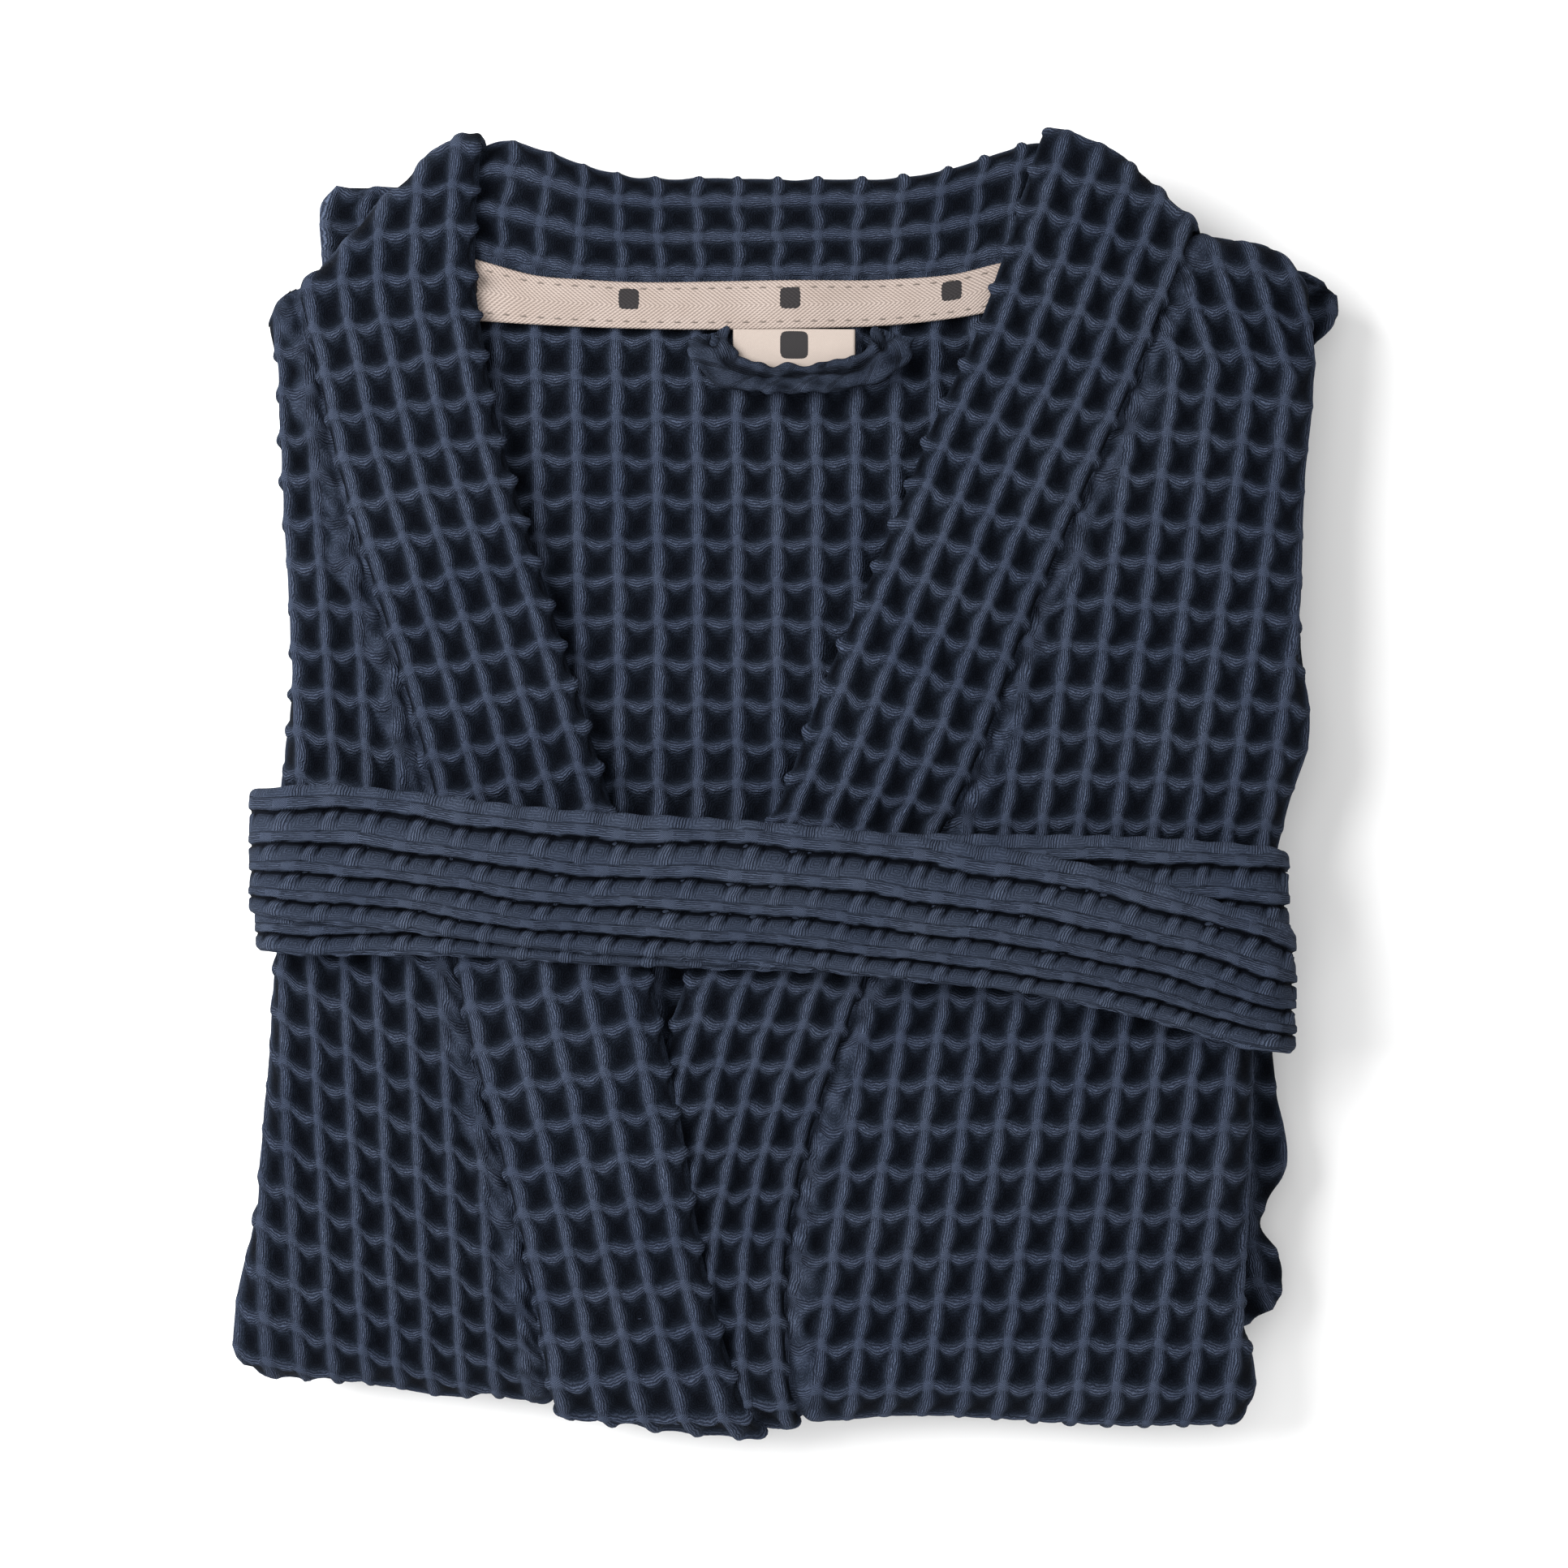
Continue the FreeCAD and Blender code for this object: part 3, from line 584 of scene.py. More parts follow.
def band_folds(base):
    """Turns a band down behind the shoulder, and round the lower fold outside the fronts."""
    x, y, z = base[..., 0], base[..., 1], base[..., 2]
    beyond = y - shoulder_y(x)
    turn = np.clip(beyond / SHOULDER, 0, math.pi)
    back = 5 * np.tanh(np.maximum(beyond - math.pi * SHOULDER, 0) / 9)
    arm = z - SHOULDER_AXIS
    y = np.where(beyond > 0, y - beyond + 0.9 * arm * np.sin(turn) - back, y)
    z = np.where(beyond > 0, SHOULDER_AXIS + arm * np.cos(turn), z) + swell(x, y)
    y, z = around_folds(x, y, z, BAND_HIGH[2] - BAND_SINK - FOLD_AXIS)
    return np.stack([x, y, z], axis=-1)


SHOULDER = 5.5                                 # the shoulder folds' radius
SHOULDER_AXIS = 36.5                           # and the height they turn round
BAND_ROLL = 2.3
BAND_FLAT = 57.0
BAND_SINK = 3.5                                # from a band's top to its middle at the lower fold
BAND_PITCH = 11.6                              # a cell across a band, which is stretched lengthwise
NECK_PITCH = 10.8
NECK_ROLL = 2.6
# seam x, y, z, inner edge x, y, z, from the peak over the shoulder down, flat below the lower fold
LEFT_BAND = [
    (-153, 232, 41, -97, 232, 43), (-153, 214, 41, -97, 214, 43), (-154.5, 193, 41, -98, 196, 43),
    (-156, 172, 40.5, -99, 179, 43), (-156, 158, 40.5, -99, 162, 43), (-151, 135, 40.5, -96, 141, 43),
    (-145, 106, 40.5, -90.5, 112, 43), (-134, 69, 40.5, -80.5, 78, 43),
    (-123, 33, 40.5, -70, 43, 42.5), (-110, -17, 40.5, -55.5, -6, 42), (-104, -70, 41.5, -43, -60, 43),
    (-92, -117, 42.5, -33, -110, 44.5), (-81, -163, 42.5, -24, -160, 44.5),
    (-76, -195, 42, -15, -192, 44), (-71, -232, 42, -3, -228, 43.5), (-70, -280, 42, -4, -280, 42.5),
    (-70, -500, 42, -6, -500, 42), (-70, -800, 42, -6, -800, 42),
]
RIGHT_BAND = [
    (147, 224, 40.5, 92, 238, 42.5), (141, 204, 40.5, 86, 219, 42.5), (134, 184, 40.5, 80, 200, 42.5),
    (127.5, 166, 40.5, 74.5, 183, 43), (121, 150, 40.5, 69, 166, 43), (111, 125, 40.5, 60.5, 143, 43),
    (98, 96, 40.5, 47, 115, 43), (87, 71, 40.5, 37, 90, 43), (77, 47, 40.5, 27, 66, 42.5),
    (66, 16, 40.5, 13, 34, 42), (50, -18, 40, -3, -8, 41.5), (32, -50, 39.5, -24, -44, 40.5),
    (18, -86, 39.5, -38, -84, 39.8), (9, -113, 39.5, -44, -113, 39.4),
    (2, -145, 39.5, -50, -146, 39.4), (1, -182, 39.5, -54, -182, 39.4),
    (5, -215, 39.5, -54, -215, 39.4), (4, -260, 39.5, -58, -260, 39.4),
    (3, -500, 39.5, -60, -500, 39.4), (3, -800, 39.5, -60, -800, 39.4),
]
# the collar at the back neck: seam to the back x, y, z, upper edge x, y, z, from the left peak to the right
NECK = [
    (-104, 169, 36, -101, 203, 36), (-97, 166.5, 35.5, -92, 206.5, 37),
    (-84, 163.5, 35, -78, 203.5, 38), (-66, 160, 35, -64, 198.5, 38), (-48, 159.5, 35, -50, 195.5, 38),
    (-20, 159.5, 35, -20, 195, 38), (10, 159.5, 35, 10, 195, 38), (32, 159.7, 35, 36, 195.5, 38),
    (50, 161, 35, 56, 199, 38), (66, 164, 35, 72, 204.5, 38), (78, 168, 35.5, 84, 207, 38),
    (86, 171, 36, 92, 204, 37),
]
CENTRE_SEAM = -1.0                             # X of the seam where the two halves of the collar meet


def band_weave(u, v):
    return waffle(u * PITCH / BAND_PITCH - 1.2, v * 0.965)


def neck_weave(u, v):
    return waffle(u * PITCH / NECK_PITCH + 9.5, v * PITCH / 12.7, 0.4)


def band_grid(stations, fine_to):
    """One half of the band, from its end behind the shoulder to its end under the packet."""
    end = polyline_length(middle_of(stations))[-1] * 0.98
    v_lines = steps((0, fine_to, FINE), (fine_to, end, COARSE))
    seam, inner = edges_along(stations, v_lines)
    section = loop_section(BAND_FLAT, BAND_ROLL, FINE, COARSE)
    _, part, _, upwards = section
    on_top = 0.45 + 0.55 * ease(upwards, -0.6, 0.4)
    off_seam = 0.55 + 0.45 * ease(part, 0.0, 0.10)
    depth = RELIEF * (on_top * off_seam)[:, None]
    return ribbon_grid(section, v_lines, seam, inner, BAND_ROLL, band_weave, depth, after=band_folds,
                       calm=band_calm)


def neck_grid(start, end):
    """The collar at the back neck, between two lengths along it."""
    v_lines = steps((start, end, FINE))
    seam, top = edges_along(NECK, v_lines)
    section = loop_section(34.5, NECK_ROLL, FINE, COARSE)
    _, part, _, _ = section
    pressed = 1 - ease(part, 0.02, 0.14)[:, None]
    return ribbon_grid(section, v_lines, seam, top, NECK_ROLL, neck_weave, 3.2, after=swell_only,
                       pressed=pressed)


def swell_only(base):
    base = base.copy()
    base[..., 2] += swell(base[..., 0], base[..., 1])
    return base


def make_bands():
    middle = middle_of(NECK)
    length = polyline_length(middle)
    centre, end = np.interp(CENTRE_SEAM, middle[:, 0], length), length[-1]
    overlap = 0.0012 * end
    left = grid_mesh("left_collar_cloth", [band_grid(LEFT_BAND, 490), neck_grid(0, centre + overlap)])
    right = grid_mesh("right_collar_cloth", [band_grid(RIGHT_BAND, 500), neck_grid(centre - overlap, end)])
    return left, right


# ---------------- sleeves

# (left edge x, right edge x, y) from the shoulder down
LEFT_SLEEVE = [
    (-146, -112, 195), (-150.5, -104, 190.5), (-151.5, -96, 183), (-151, -80, 174), (-151, -60, 167),
    (-153, -40, 160), (-160, -8, 151), (-164, -7, 135), (-161, -7, 110), (-157, -7, 60), (-156, -7, 0),
    (-158, -7, -60), (-160, -7, -110), (-160, -8, -145), (-155, -14, -150),
]
RIGHT_SLEEVE = [
    (75, 104, 180), (60, 126, 174), (30, 166, 168), (10, 180, 160), (7, 180, 151), (7, 173, 143),
    (7, 167, 125), (7, 165, 95), (7, 167, 60), (7, 170, 38), (7, 170, 14), (7, 162, -8), (7, 159, -30),
    (7, 159, -75), (7, 161, -100), (7, 163, -128), (7, 158, -137), (7, 156, -144), (8, 161, -152),
    (10, 163, -162), (14, 160, -171), (20, 150, -177),
]


def sleeve_piece(name, stations):
    """A sleeve folded flat behind the packet, thinner at both ends and stretched flatter round its edges."""
    middle = (SLEEVE_LOW[2] + SLEEVE_HIGH[2]) / 2
    pairs = [(left, y, middle, right, y, middle) for left, right, y in stations]
    length = polyline_length(middle_of(pairs))[-1]
    v_lines = steps((0, length, 1.5))
    left_edge, right_edge = edges_along(pairs, v_lines)
    section = loop_section(160, 2.4, 1.3, 2.6)
    _, _, _, upwards = section
    depth = 0.7 + 1.3 * ease(upwards, 0.1, 0.9)[:, None]
    roll = 0.5 + 1.9 * ease(v_lines, 0, 5) * ease(length - v_lines, 0, 5)
    grid = ribbon_grid(section, v_lines, left_edge, right_edge, roll, waffle, depth, flat_wide=155)
    return grid_mesh(name, [grid])


# ---------------- belt

# the two turns on top of the packet: (X, Y) of the belt's middle, from left to right
INNER_TURN = [(-168, -33), (-74, -34), (30, -38), (160, -41)]
OUTER_TURN = [
    (-170, -22.2), (-126, -24.2), (-74, -29), (-22, -33.8), (30, -38.2), (82, -45.5), (134, -57.2),
    (162, -65.5),
]


def belt_route():
    """The belt's middle line: from its inner end under the packet, twice round, to its outer end.

    Each corner is (x, z, y of the middle, radius); the ends lie under the packet.
    """
    half = 2.0      # of the belt's thickness
    low, high = BELT_LOW[2], BELT_HIGH[2]
    inner_low, inner_top = low + 3 * half, high - 3 * half
    outer_low, outer_top = low + half, high - half
    (inner_left, left_y), (inner_right, right_y) = INNER_TURN[0], INNER_TURN[-1]
    (outer_left, start_y), (outer_right, end_y) = OUTER_TURN[0], OUTER_TURN[-1]
    return [
        (-60, inner_low, left_y, 0), (inner_left, inner_low, left_y, 9),
        (inner_left, inner_top, left_y, 11),
        *((x, inner_top, y, 30) for x, y in INNER_TURN[1:-1]),
        (inner_right, inner_top, right_y, 11), (inner_right, inner_low, right_y, 9),
        (60, inner_low, (right_y * 2 + start_y) / 3, 20), (10, outer_low, (right_y + start_y * 2) / 3, 20),
        (outer_left, outer_low, start_y, 12), (outer_left, outer_top, start_y, 16),
        *((x, outer_top, y, 30) for x, y in OUTER_TURN[1:-1]),
        (outer_right, outer_top, end_y, 16), (outer_right, outer_low, end_y, 12), (45, outer_low, end_y, 0),
    ]


def rounded_route(corners):
    """Points along straight runs and round the corners, closest together on top of the packet."""
    points = [np.array(corners[0][:3], float)]
    for before, corner, after in zip(corners, corners[1:], corners[2:]):
        here = np.array(corner[:3], float)
        to_before = np.array(before[:3], float) - here
        to_after = np.array(after[:3], float) - here
        reach = min(corner[3], 0.45 * np.linalg.norm(to_before), 0.45 * np.linalg.norm(to_after))
        start = here + to_before / np.linalg.norm(to_before) * reach
        end = here + to_after / np.linalg.norm(to_after) * reach
        for t in np.linspace(0, 1, 13):
            points.append((1 - t) ** 2 * start + 2 * t * (1 - t) * here + t ** 2 * end)
    points.append(np.array(corners[-1][:3], float))
    points = np.array(points)
    length = polyline_length(points)
    short_step, top_step, hidden_step = 0.5, 1.1, 2.6
    even = np.arange(0, length[-1], short_step)
    on_top = np.interp(even, length, points[:, 1]) > 40
    passed = np.cumsum(short_step / np.where(on_top, top_step, hidden_step))
    at = np.interp(np.arange(1, passed[-1]), passed, even)
    return np.stack([np.interp(at, length, points[:, k]) for k in range(3)], axis=1), at


def make_belt():
    route, v_lines = rounded_route(belt_route())
    centre = route[:, [0, 2, 1]]
    tangent = unit(np.gradient(centre, v_lines, axis=0))
    level = unit(tangent * (1, 0, 1))
    normal = np.stack([-level[:, 2], 0 * v_lines, level[:, 0]], axis=1)
    kernel = np.ones(9) / 9
    for k in (0, 2):
        padded = np.pad(normal[:, k], 4, mode="edge")
        normal[:, k] = np.convolve(padded, kernel, mode="valid")
    normal = unit(normal)
    across = unit(np.cross(tangent, normal))
    wave = 0.8 * np.sin(v_lines / 37) + 0.5 * np.sin(v_lines / 19 + 1)
    wide = BELT_WIDE + 0.8 * np.sin(v_lines / 53 + 0.5) - 2.5 * ease(route[:, 0], 40, 165)
    wide = wide - 2.5 * ease(np.abs(route[:, 0]), 150, 170)
    centre = centre + across * wave[:, None]
    edge_a = centre - across * wide[:, None] / 2
    edge_b = centre + across * wide[:, None] / 2

    # less relief on the underside, and where the belt turns down the packet's sides
    section = loop_section(BELT_WIDE, BELT_ROLL, 0.55, 2.4)
    _, _, _, upwards = section
    on_top = 0.35 + 0.65 * ease(upwards, -0.5, 0.5)[:, None]
    depth = on_top * (3.7 - 2.7 * ease(np.abs(route[:, 0]), 150, 168))
    grid = ribbon_grid(section, v_lines, edge_a, edge_b, BELT_ROLL, pressed_waffle, depth, normal)
    return grid_mesh("belt_cloth", [grid]), v_lines[-1]


# ---------------- neck tape, label, loop

def plain_weave(u, v):
    """Smooth cloth: no relief of its own; coordinates stay in millimetres."""
    return np.full_like(u, 0.5), u, v


TAPE_WIDE = 15.0
TAPE_ROLL = 0.45


def make_tape():
    """The neck tape, and its upper and lower edge for the stitches."""
    x = steps((TAPE_LOW[0] - 3, TAPE_HIGH[0] + 4, 0.9))
    upper_y = neck_y(x) + 0.3
    upper_z = TAPE_HIGH[2] + 1.2 + swell(x, neck_y(x)) + 0.25 * np.sin(x / 6)
    lower_y = smooth_curve(
        [-104, -82, -64, -43, 9, 35, 56, 74], [149.4, 148, 147.2, 146.6, 146.9, 147.9, 150.3, 153.5], x,
    )
    lower_z = TAPE_HIGH[2] + 0.7 + swell(x, lower_y) + 0.2 * np.sin(x / 7 + 1)
    upper, lower = np.stack([x, upper_y, upper_z], axis=1), np.stack([x, lower_y, lower_z], axis=1)
    section = loop_section(TAPE_WIDE, TAPE_ROLL, 0.6, 1.5)
    grid = ribbon_grid(section, x, lower, upper, TAPE_ROLL, plain_weave, 0)
    return grid_mesh("neck_tape_cloth", [grid]), upper, lower


def capsule_grid(start, end, radius, arch):
    """A stitch: a short thread that dips into the cloth at both ends."""
    t = np.linspace(0, 1, 7)
    middle = start + (end - start) * t[:, None]
    middle[:, 2] += arch * np.sin(math.pi * t)
    thick = radius * (0.35 + 0.65 * np.sin(math.pi * np.clip(t, 0.04, 0.96)) ** 0.5)
    angle = np.linspace(0, 2 * math.pi, 9)[:-1]
    direction = (end - start) / np.linalg.norm(end - start)
    side = np.cross(direction, [0, 0, 1.0])
    ring = np.cos(angle)[:, None, None] * side + np.sin(angle)[:, None, None] * np.array([0, 0, 1.0])
    points = middle[None] + ring * thick[None, :, None]
    return {"points": points, "closed": True, "relief": 0.6, "along": t[None] * 2.6,
            "across": angle[:, None]}


def make_stitches(upper, lower):
    """Two rows of running stitches, a little in from the tape's edges."""
    pitch, length, lift = 5.5, 2.3, 0.40

    def at(x, edge):
        return np.array([np.interp(x, edge[:, 0], edge[:, k]) for k in range(3)])

    def on_tape(x, inset):
        return at(x, upper) + (at(x, lower) - at(x, upper)) * inset / TAPE_WIDE + (0, 0, lift)

    grids = [
        capsule_grid(on_tape(x, inset), on_tape(x + length, inset), 0.2, 0.22)
        for inset in (2.2, TAPE_WIDE - 2.2)
        for x in np.arange(TAPE_LOW[0] + 1, TAPE_HIGH[0] - 1, pitch)
    ]
    return grid_mesh("tape_stitch_threads", grids)


def make_label():
    """A blank woven label, a little bowed, its free end under the loop."""
    wide, length = LABEL_HIGH[0] - LABEL_LOW[0], LABEL_HIGH[1] - LABEL_LOW[1] + 1.6
    roll = 0.4
    v = steps((0, length, 0.6))
    y = LABEL_HIGH[1] + 1.0 - v
    z = LABEL_LOW[2] + 0.9 + 0.9 * np.sin(v / length * math.pi) + swell(0, y)
    left = np.stack([0 * v + LABEL_LOW[0], y, z], axis=1)
    right = np.stack([0 * v + LABEL_HIGH[0], y - 0.3, z + 0.1], axis=1)
    section = loop_section(wide, roll, 0.6, 1.5)
    return grid_mesh("label_cloth", [ribbon_grid(section, v, left, right, roll, plain_weave, 0)])


def loop_weave(u, v):
    """The loop's tube: cloth gathered into lumps, with a sewn groove near its outer edge."""
    lumps = np.sin(v / 1.25 + 1.4 * np.sin(v / 4.3 + 1) + 0.35 * u) * (0.6 + 0.4 * np.sin(v / 5.1 + 1))
    cross = np.sin(v / 2.9 - 0.9 * u + np.sin(v / 6.0))
    groove = np.exp(-(((u - 2.2 - 0.4 * np.sin(v / 3.7)) / 0.8) ** 2))
    height = 0.55 + 0.22 * lumps + 0.16 * cross - 0.5 * groove
    return height, u / PITCH * 1.6 + 0.05 * lumps, v / PITCH * 1.35 + 0.10 * u


LOOP_ROLL = 1.7
# the hanger loop's (x, y, height over its base, width), from the tape's lower edge, down, and back up to it
LOOP = np.array([
    (-25, 144.9, -2.6, 13.5), (-23.6, 141, 0, 13.5), (-19, 133.6, 0.6, 11.5), (-6, 130.6, 1.0, 9),
    (11.5, 130.8, 1.3, 8.8), (25.5, 133.2, 0.9, 10.5), (33.4, 139.2, 0.4, 13), (35.5, 145.4, -2.6, 13.5),
])


def make_loop():
    points = LOOP[:, :3] + (0, 0, LOOP_LOW[2] + LOOP_ROLL)
    chord = polyline_length(points)
    v_lines = steps((0, chord[-1], 0.7))
    centre = smooth_curve(chord, points, v_lines)
    wide = smooth_curve(chord, LOOP[:, 3], v_lines)[:, None]
    across = unit(np.cross(unit(np.gradient(centre, axis=0)), (0, 0, 1)))
    edge_a, edge_b = centre - across * wide / 2, centre + across * wide / 2
    ends = ease(np.minimum(v_lines, v_lines[-1] - v_lines), 0, 9)
    section = loop_section(10, LOOP_ROLL, 0.6, 0.8)
    roll = 0.4 + (LOOP_ROLL - 0.4) * ends
    grid = ribbon_grid(section, v_lines, edge_a, edge_b, roll, loop_weave, 3.2)
    return grid_mesh("hanger_loop_cloth", [grid])


# ---------------- materials

class Value:
    """A node's output. Arithmetic with it adds math nodes to its tree."""

    def __init__(self, nodes, socket):
        self.nodes, self.socket = nodes, socket

    def math(self, operation, *others, clamp=False):
        return self.nodes.math(operation, self, *others, clamp=clamp)

    def __add__(self, other):
        return self.math("ADD", other)

    def __sub__(self, other):
        return self.math("SUBTRACT", other)

    def __rsub__(self, other):
        return self.nodes.math("SUBTRACT", other, self)

    def __mul__(self, other):
        return self.math("MULTIPLY", other)

    def __truediv__(self, other):
        return self.math("DIVIDE", other)

    def __pow__(self, other):
        return self.math("POWER", other)

    def __abs__(self):
        return self.math("ABSOLUTE")


class Nodes:
    """Short calls for building a material's node tree."""

    def __init__(self, name):
        self.material = bpy.data.materials.new(name)
        self.material.use_nodes = True
        self.tree = self.material.node_tree

    def set_inputs(self, node, inputs):
        """Sets a node's inputs, by name or number, to values, plain numbers or colours."""
        for key, value in inputs.items():
            if isinstance(value, Value):
                self.tree.links.new(value.socket, node.inputs[key])
            else:
                node.inputs[key].default_value = (*value, 1) if isinstance(value, tuple) else value

    def add(self, kind, output, inputs, **settings):
        """Adds a node, and gives one of its outputs."""
        node = self.tree.nodes.new(kind)
        for key, value in settings.items():
            setattr(node, key, value)
        self.set_inputs(node, inputs)
        return Value(self, node.outputs[output])

    def math(self, operation, *values, clamp=False):
        return self.add("ShaderNodeMath", 0, dict(enumerate(values)), operation=operation, use_clamp=clamp)

    def attribute(self, name):
        return self.add("ShaderNodeAttribute", "Fac", {}, attribute_name=name)

    def object_vector(self):
        return self.add("ShaderNodeTexCoord", "Object", {})

    def noise(self, vector, scale, detail, roughness=0.5):
        inputs = {"Vector": vector, "Scale": scale, "Detail": detail, "Roughness": roughness}
        return self.add("ShaderNodeTexNoise", "Fac", inputs)

    def bump(self, height, strength, distance, over=None):
        inputs = {"Height": height, "Strength": strength, "Distance": distance}
        return self.add("ShaderNodeBump", "Normal", {**inputs, "Normal": over} if over else inputs)

    def mix(self, factor, a, b, blend="MIX"):
        return self.add("ShaderNodeMix", 2, {0: factor, 6: a, 7: b}, data_type="RGBA", blend_type=blend)

    def ramp(self, factor, stops):
        node = self.tree.nodes.new("ShaderNodeValToRGB")
        elements = node.color_ramp.elements
        elements.remove(elements[1])
        for index, (place, colour) in enumerate(stops):
            element = elements.new(place) if index else elements[0]
            element.position = place
            element.color = (*colour, 1)
        self.set_inputs(node, {"Fac": factor})
        return Value(self, node.outputs["Color"])

    def finish(self, colour, roughness, inputs):
        """Connects the shader, and gives the material."""
        inputs = {"Base Color": colour, "Roughness": roughness, **inputs}
        self.set_inputs(self.tree.nodes["Principled BSDF"], inputs)
        return self.material


def cosine(value, turns=1.0):
    return (value * (2 * math.pi * turns)).math("COSINE")


def from_line(cells):
    """Signed distance from the nearest whole number of cells, in millimetres."""
    return cells.math("WRAP", 0.5, -0.5) * PITCH


def within(distance, reach, soft):
    """1 where a distance is less than a reach, fading over a soft edge."""
    return ((reach - distance) / soft).math("ADD", 0.5, clamp=True)


def waffle_lines(across, along):
    """Masks of ridges, bundles and knots, the phases of the threads on them, and the rings in the pits."""
    side_a, side_b = from_line(across), from_line(along)
    from_ridge, from_row = abs(side_a), abs(side_b)
    mid_a, mid_b = (abs((cells * math.pi).math("SINE")) for cells in (across, along))
    ridge_wide = mid_b * mid_b * 0.9 + 1.75
    bundle_wide = mid_a ** 0.9 * 1.15 + 0.65
    is_ridge = within(from_ridge, ridge_wide, 0.5)
    bundle = within(from_row, bundle_wide, 0.5) * (1.0 - is_ridge)
    knot = within(from_ridge, 1.8, 0.6) * within(from_row, 1.6, 0.6)
    inner_a, inner_b = ((1.0 - distance / (PITCH / 2)) ** 3.0 for distance in (from_ridge, from_row))
    ring = (inner_a + inner_b) ** (1 / 3) * (PITCH / 2 / 0.82)
    return is_ridge, bundle, knot, side_a * 3.0 / ridge_wide, side_b * 2.0 / bundle_wide, ring


def pressed_lines(across, along):
    """The same for the belt's pressed weave, whose bundles lean across the cells."""
    part = across.math("FRACT")
    beside = from_line(along - 0.5)
    slant = from_line((beside - (1.0 - part) ** 2.2 * (0.41 * PITCH)) / PITCH)
    from_ridge, from_row = abs(part.math("WRAP", 0.65, -0.35) - 0.15) * 10.0, abs(slant)
    is_ridge = within(from_ridge, 1.6, 0.4)
    bundle = within(from_row, 1.45, 0.4) * within(0.38, part, 0.04) * (1.0 - is_ridge)
    knot = is_ridge * within(abs(beside), 1.9, 0.7)
    ring = from_ridge.math("MINIMUM", from_row * 0.8) / 0.7
    return is_ridge, bundle, knot, from_ridge / 0.62, slant / 0.75, ring


def cloth_material(name, ridge_colour, pit_shade_colour, lines, waviness, crumpling):
    """Cotton waffle cloth. Ridges and bundles show their parallel threads, pits show nested squares. Its
    colour is darkened in the pits, down the ridges' flanks and between the threads as painted shade.
    """
    nodes = Nodes(name)
    across, along, relief, pressed = map(nodes.attribute, ("across", "along", "relief", "pressed"))
    cells = nodes.add("ShaderNodeCombineXYZ", 0, {0: across, 1: along})
    space = nodes.object_vector()
    wander = (nodes.noise(cells, 4.5, 4.0, 0.65) - 0.5) * waviness
    crumpled = (nodes.noise(cells, 11.0, 3.0, 0.7) - 0.5) * crumpling
    is_ridge, bundle, knot, ridge_phase, bundle_phase, ring = lines(across, along)

    # the threads: high on a thread, low in the gap beside it
    loose = 1.0 - knot
    strands = cosine(ridge_phase + wander) * is_ridge * loose
    hanging = cosine(bundle_phase + wander) * bundle * loose
    rings = cosine(ring + wander + crumpled) * (1.0 - is_ridge.math("MAXIMUM", bundle)) * 0.5
    picks = cosine(along, PITCH / 0.6) * cosine(across, PITCH / 0.75) * (knot * 0.7 + 0.3) * 0.6
    pattern = strands + hanging + (rings + picks)

    # the colour: painted shade by height in the pits and down the ridges, then painted shade between the
    # threads, then random tone in slow patches
    fuzz = nodes.noise(space, 2600, 3.0, 0.7)
    grain = fuzz - 0.5
    # painted shade: the lower the cloth lies in a pit or slit, the darker its colour, down to near black at
    # the bottom
    deepest_pit_shade = (0.003, 0.004, 0.007)
    # painted shade: wall tops are a little darker than the ridge colour, and ridges and bundles fall to a
    # fifth of it at their foot
    shaded_wall_top, shaded_crest_foot = (tuple(c * share for c in ridge_colour) for share in (0.8, 0.2))
    # seam-pressed cloth is lifted up the ramp, so it is painted less shaded
    shaded = relief + pressed * 0.25 + grain * 0.3
    depth_shaded_wall = nodes.ramp(shaded, [(0.08, deepest_pit_shade), (0.45, pit_shade_colour), (0.98, shaded_wall_top)])
    depth_shaded_crest = nodes.ramp(relief, [(0.28, shaded_crest_foot), (0.94, ridge_colour)])
    colour = nodes.mix(is_ridge.math("MAXIMUM", bundle * 0.85), depth_shaded_wall, depth_shaded_crest)
    # painted shade in the gaps between threads and along the pits' nested rings, with painted light on the
    # thread crests
    gap = ((pattern + grain * 1.6) * 0.5).math("ADD", 0.5, clamp=True)
    shade = nodes.ramp(gap, [(0.0, (0.22, 0.23, 0.26)), (0.45, (0.80, 0.81, 0.83)), (1.0, (1.4, 1.4, 1.4))])
    colour = nodes.mix(0.9, colour, shade, "MULTIPLY")
    tone = nodes.ramp(nodes.noise(space, 38, 3.0), [(0.3, (0.82, 0.84, 0.88)), (0.7, (1.12, 1.10, 1.07))])
    colour = nodes.mix(0.8, colour, tone, "MULTIPLY")
    return nodes.finish(colour, 0.95, {
        "Normal": nodes.bump(pattern, 1.0, 0.00036, over=nodes.bump(fuzz, 0.8, 0.0002)),
        "Sheen Weight": 0.008, "Sheen Roughness": 0.6, "Sheen Tint": (0.5, 0.62, 0.85),
        "Specular IOR Level": 0.04,
    })


def rounded_square(dx, dy):
    """Distance from a centre that is the same all round a rounded square."""
    return (abs(dx) ** 5.0 + abs(dy) ** 5.0) ** 0.2


def printed(nodes, colour, distance, half_wide, ink):
    """Prints a mark over a colour, where a distance is less than half the mark's width."""
    return nodes.mix(distance.math("LESS_THAN", half_wide) * 0.97, colour, ink)


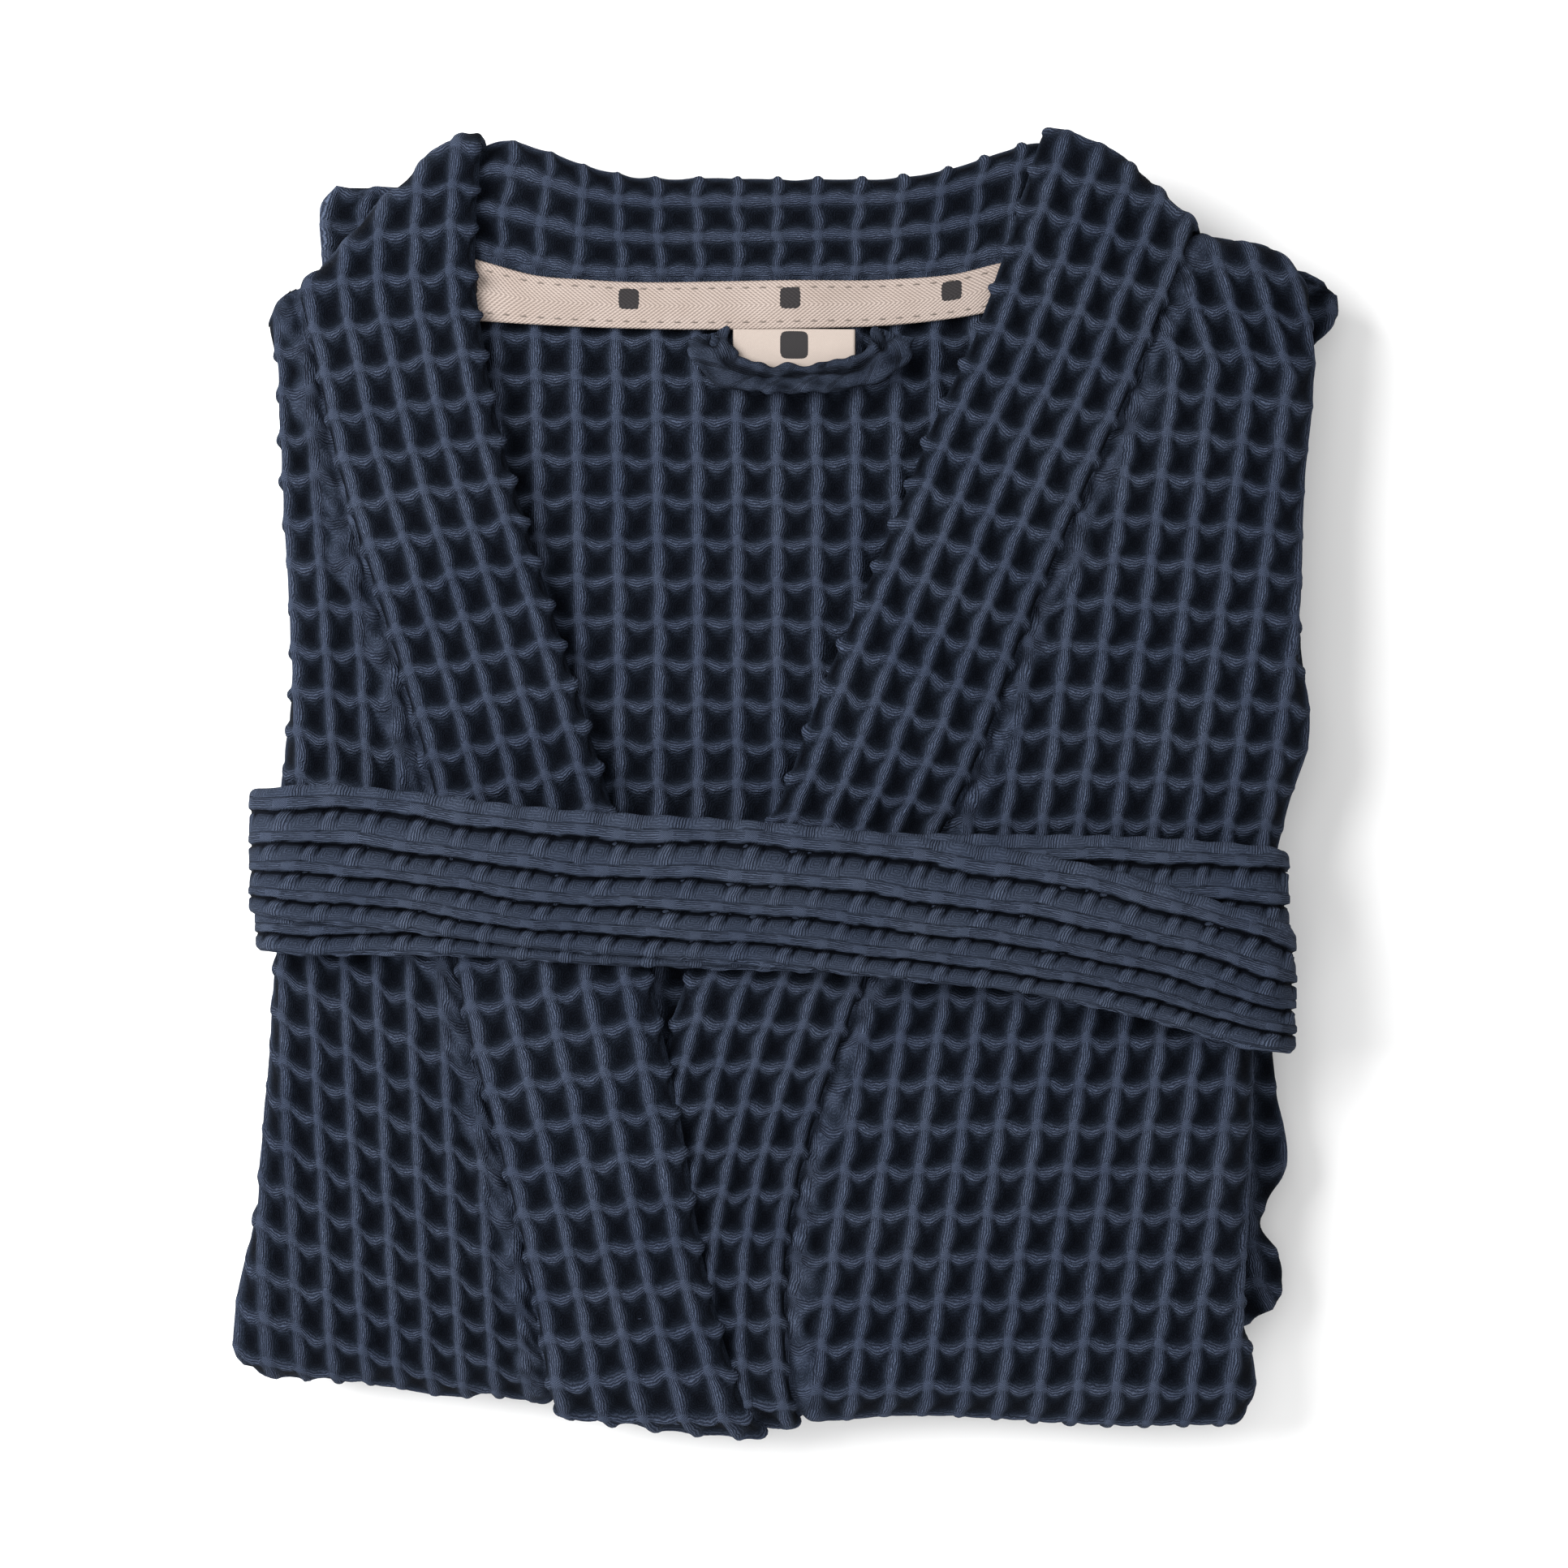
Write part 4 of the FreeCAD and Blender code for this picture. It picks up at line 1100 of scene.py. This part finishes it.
def tape_material():
    """Herringbone cotton tape with plain rounded squares printed on it."""
    nodes = Nodes("herringbone_tape_weave")
    along, across = nodes.attribute("along"), nodes.attribute("across")
    fold_line, mark_line, between_marks = 7.0, 9.0, 52.0
    twill = cosine(along + abs(across - fold_line) * 1.35, 1 / 1.55)
    height = twill + cosine(across, 1 / 0.62) * 0.45
    threads = [(0.05, (0.20, 0.16, 0.142)), (0.5, (0.35, 0.288, 0.256)), (0.95, (0.44, 0.372, 0.335))]
    colour = nodes.ramp(height * 0.33 + 0.5, threads)
    blotches = nodes.noise(nodes.object_vector(), 90, 3.0)
    blotch = nodes.ramp(blotches, [(0.3, (0.9, 0.88, 0.86)), (0.7, (1.05, 1.05, 1.05))])
    colour = nodes.mix(0.7, colour, blotch, "MULTIPLY")
    cell = ((along + 76.0) / between_marks).math("FRACT") - 0.5
    mark = rounded_square(cell * between_marks, across - mark_line) + twill * 0.10
    colour = printed(nodes, colour, mark, 3.3, (0.022, 0.021, 0.023))
    normal = nodes.bump(height, 0.6, 0.00018)
    return nodes.finish(colour, 0.95, {"Specular IOR Level": 0.1, "Normal": normal})


def label_material():
    """Fine woven label cloth with one plain rounded square."""
    nodes = Nodes("label_weave")
    along, across = nodes.attribute("along"), nodes.attribute("across")
    warp, weft = cosine(across, 1 / 0.42), cosine(along, 1 / 0.42)
    height = warp * weft
    colour = nodes.ramp(height * 0.5 + 0.5, [(0.0, (0.34, 0.285, 0.25)), (1.0, (0.45, 0.385, 0.345))])
    mark = rounded_square(across - 19.4, along - 5.2) + warp * 0.06
    colour = printed(nodes, colour, mark, 4.5, (0.02, 0.02, 0.022))
    normal = nodes.bump(height, 0.4, 0.0001)
    return nodes.finish(colour, 0.9, {"Specular IOR Level": 0.1, "Normal": normal})


def thread_material():
    """Twisted sewing thread, darker than the tape."""
    nodes = Nodes("stitch_thread")
    twist = cosine(nodes.attribute("along") * 1.6 + nodes.attribute("across") / (2 * math.pi))
    colour = nodes.ramp(twist * 0.5 + 0.5, [(0.0, (0.09, 0.07, 0.06)), (1.0, (0.20, 0.165, 0.14))])
    return nodes.finish(colour, 0.7, {"Normal": nodes.bump(twist, 0.5, 0.00008)})


def floor_material():
    nodes = Nodes("pale_floor")
    patches = nodes.noise(nodes.object_vector(), 6, 2.0)
    tone = nodes.ramp(patches, [(0.3, (0.86, 0.86, 0.86)), (0.7, (0.88, 0.88, 0.88))])
    return nodes.finish(tone, 0.9, {})


# ---------------- stage

def make_stage():
    mesh = bpy.data.meshes.new("floor")
    half = 3.0
    corners = [(-half, -half, 0), (half, -half, 0), (half, half, 0), (-half, half, 0)]
    mesh.from_pydata(corners, [], [(0, 1, 2, 3)])
    floor = bpy.data.objects.new("floor", mesh)
    bpy.context.scene.collection.objects.link(floor)
    mesh.materials.append(floor_material())
    floor.location.z = -0.0005
    world = bpy.data.worlds.new("studio")
    world.use_nodes = True
    world.node_tree.nodes["Background"].inputs["Color"].default_value = (1, 1, 1, 1)
    world.node_tree.nodes["Background"].inputs["Strength"].default_value = 0.55
    bpy.context.scene.world = world
    for name, place, size, power in (
        ("key", (-0.85, 0.35, 0.95), 0.9, 27), ("low", (-0.4, -0.9, 0.6), 0.7, 5),
        ("fill", (1.5, -0.4, 1.6), 1.8, 4), ("top", (0.0, 0.3, 2.2), 1.5, 14),
    ):
        light = bpy.data.objects.new(name, bpy.data.lights.new(name, "AREA"))
        light.data.shape = "DISK"
        light.data.size = size
        light.data.energy = power
        light.location = place
        light.rotation_euler = (-Vector(place)).to_track_quat("-Z", "Y").to_euler()
        bpy.context.scene.collection.objects.link(light)


def make_camera():
    """Straight above the packet, with a margin all round it."""
    camera = bpy.data.objects.new("camera", bpy.data.cameras.new("camera"))
    camera.data.lens = 85
    camera.data.sensor_width = 36
    frame_wide = 0.5023
    top = BAND_HIGH[2] * MM
    camera.location = (0, 0, top + frame_wide * camera.data.lens / camera.data.sensor_width)
    camera.rotation_euler = (0, 0, 0)
    camera.data.clip_end = 50
    bpy.context.scene.collection.objects.link(camera)
    bpy.context.scene.camera = camera
    bpy.context.scene.view_settings.view_transform = "Standard"


# ---------------- the robe

def finish_piece(piece, material, body, node):
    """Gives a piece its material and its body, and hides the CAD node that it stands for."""
    piece.data.materials.append(material)
    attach(piece, body)
    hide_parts(node)


def main():
    make_camera()
    make_stage()
    # each cloth's second colour is the painted shade in its pits
    navy = cloth_material(
        "navy_waffle", (0.059, 0.075, 0.116), (0.017, 0.023, 0.036), waffle_lines,
        waviness=2.3, crumpling=2.2,
    )
    belt_navy = cloth_material(
        "navy_belt_waffle", (0.060, 0.076, 0.115), (0.027, 0.035, 0.054), pressed_lines,
        waviness=1.5, crumpling=1.2,
    )
    back = make_back()
    left_front, right_front = make_fronts()
    left_band, right_band = make_bands()
    left_sleeve = sleeve_piece("left_sleeve_cloth", LEFT_SLEEVE)
    right_sleeve = sleeve_piece("right_sleeve_cloth", RIGHT_SLEEVE)
    belt, belt_length = make_belt()
    tape, upper, lower = make_tape()
    stitches = make_stitches(upper, lower)
    label, loop = make_label(), make_loop()
    for piece, node in (
        (back, "back_panel"), (left_front, "left_front"), (right_front, "right_front"),
        (left_band, "left_collar_band"), (right_band, "right_collar_band"),
        (left_sleeve, "left_sleeve"), (right_sleeve, "right_sleeve"),
    ):
        finish_piece(piece, navy, "robe", node)
    finish_piece(belt, belt_navy, "belt", "belt")
    finish_piece(tape, tape_material(), "robe", "neck_tape")
    finish_piece(stitches, thread_material(), "robe", "tape_stitches")
    finish_piece(label, label_material(), "sewn_label", "sewn_label")
    finish_piece(loop, belt_navy, "hanger_loop", "hanger_loop")


main()
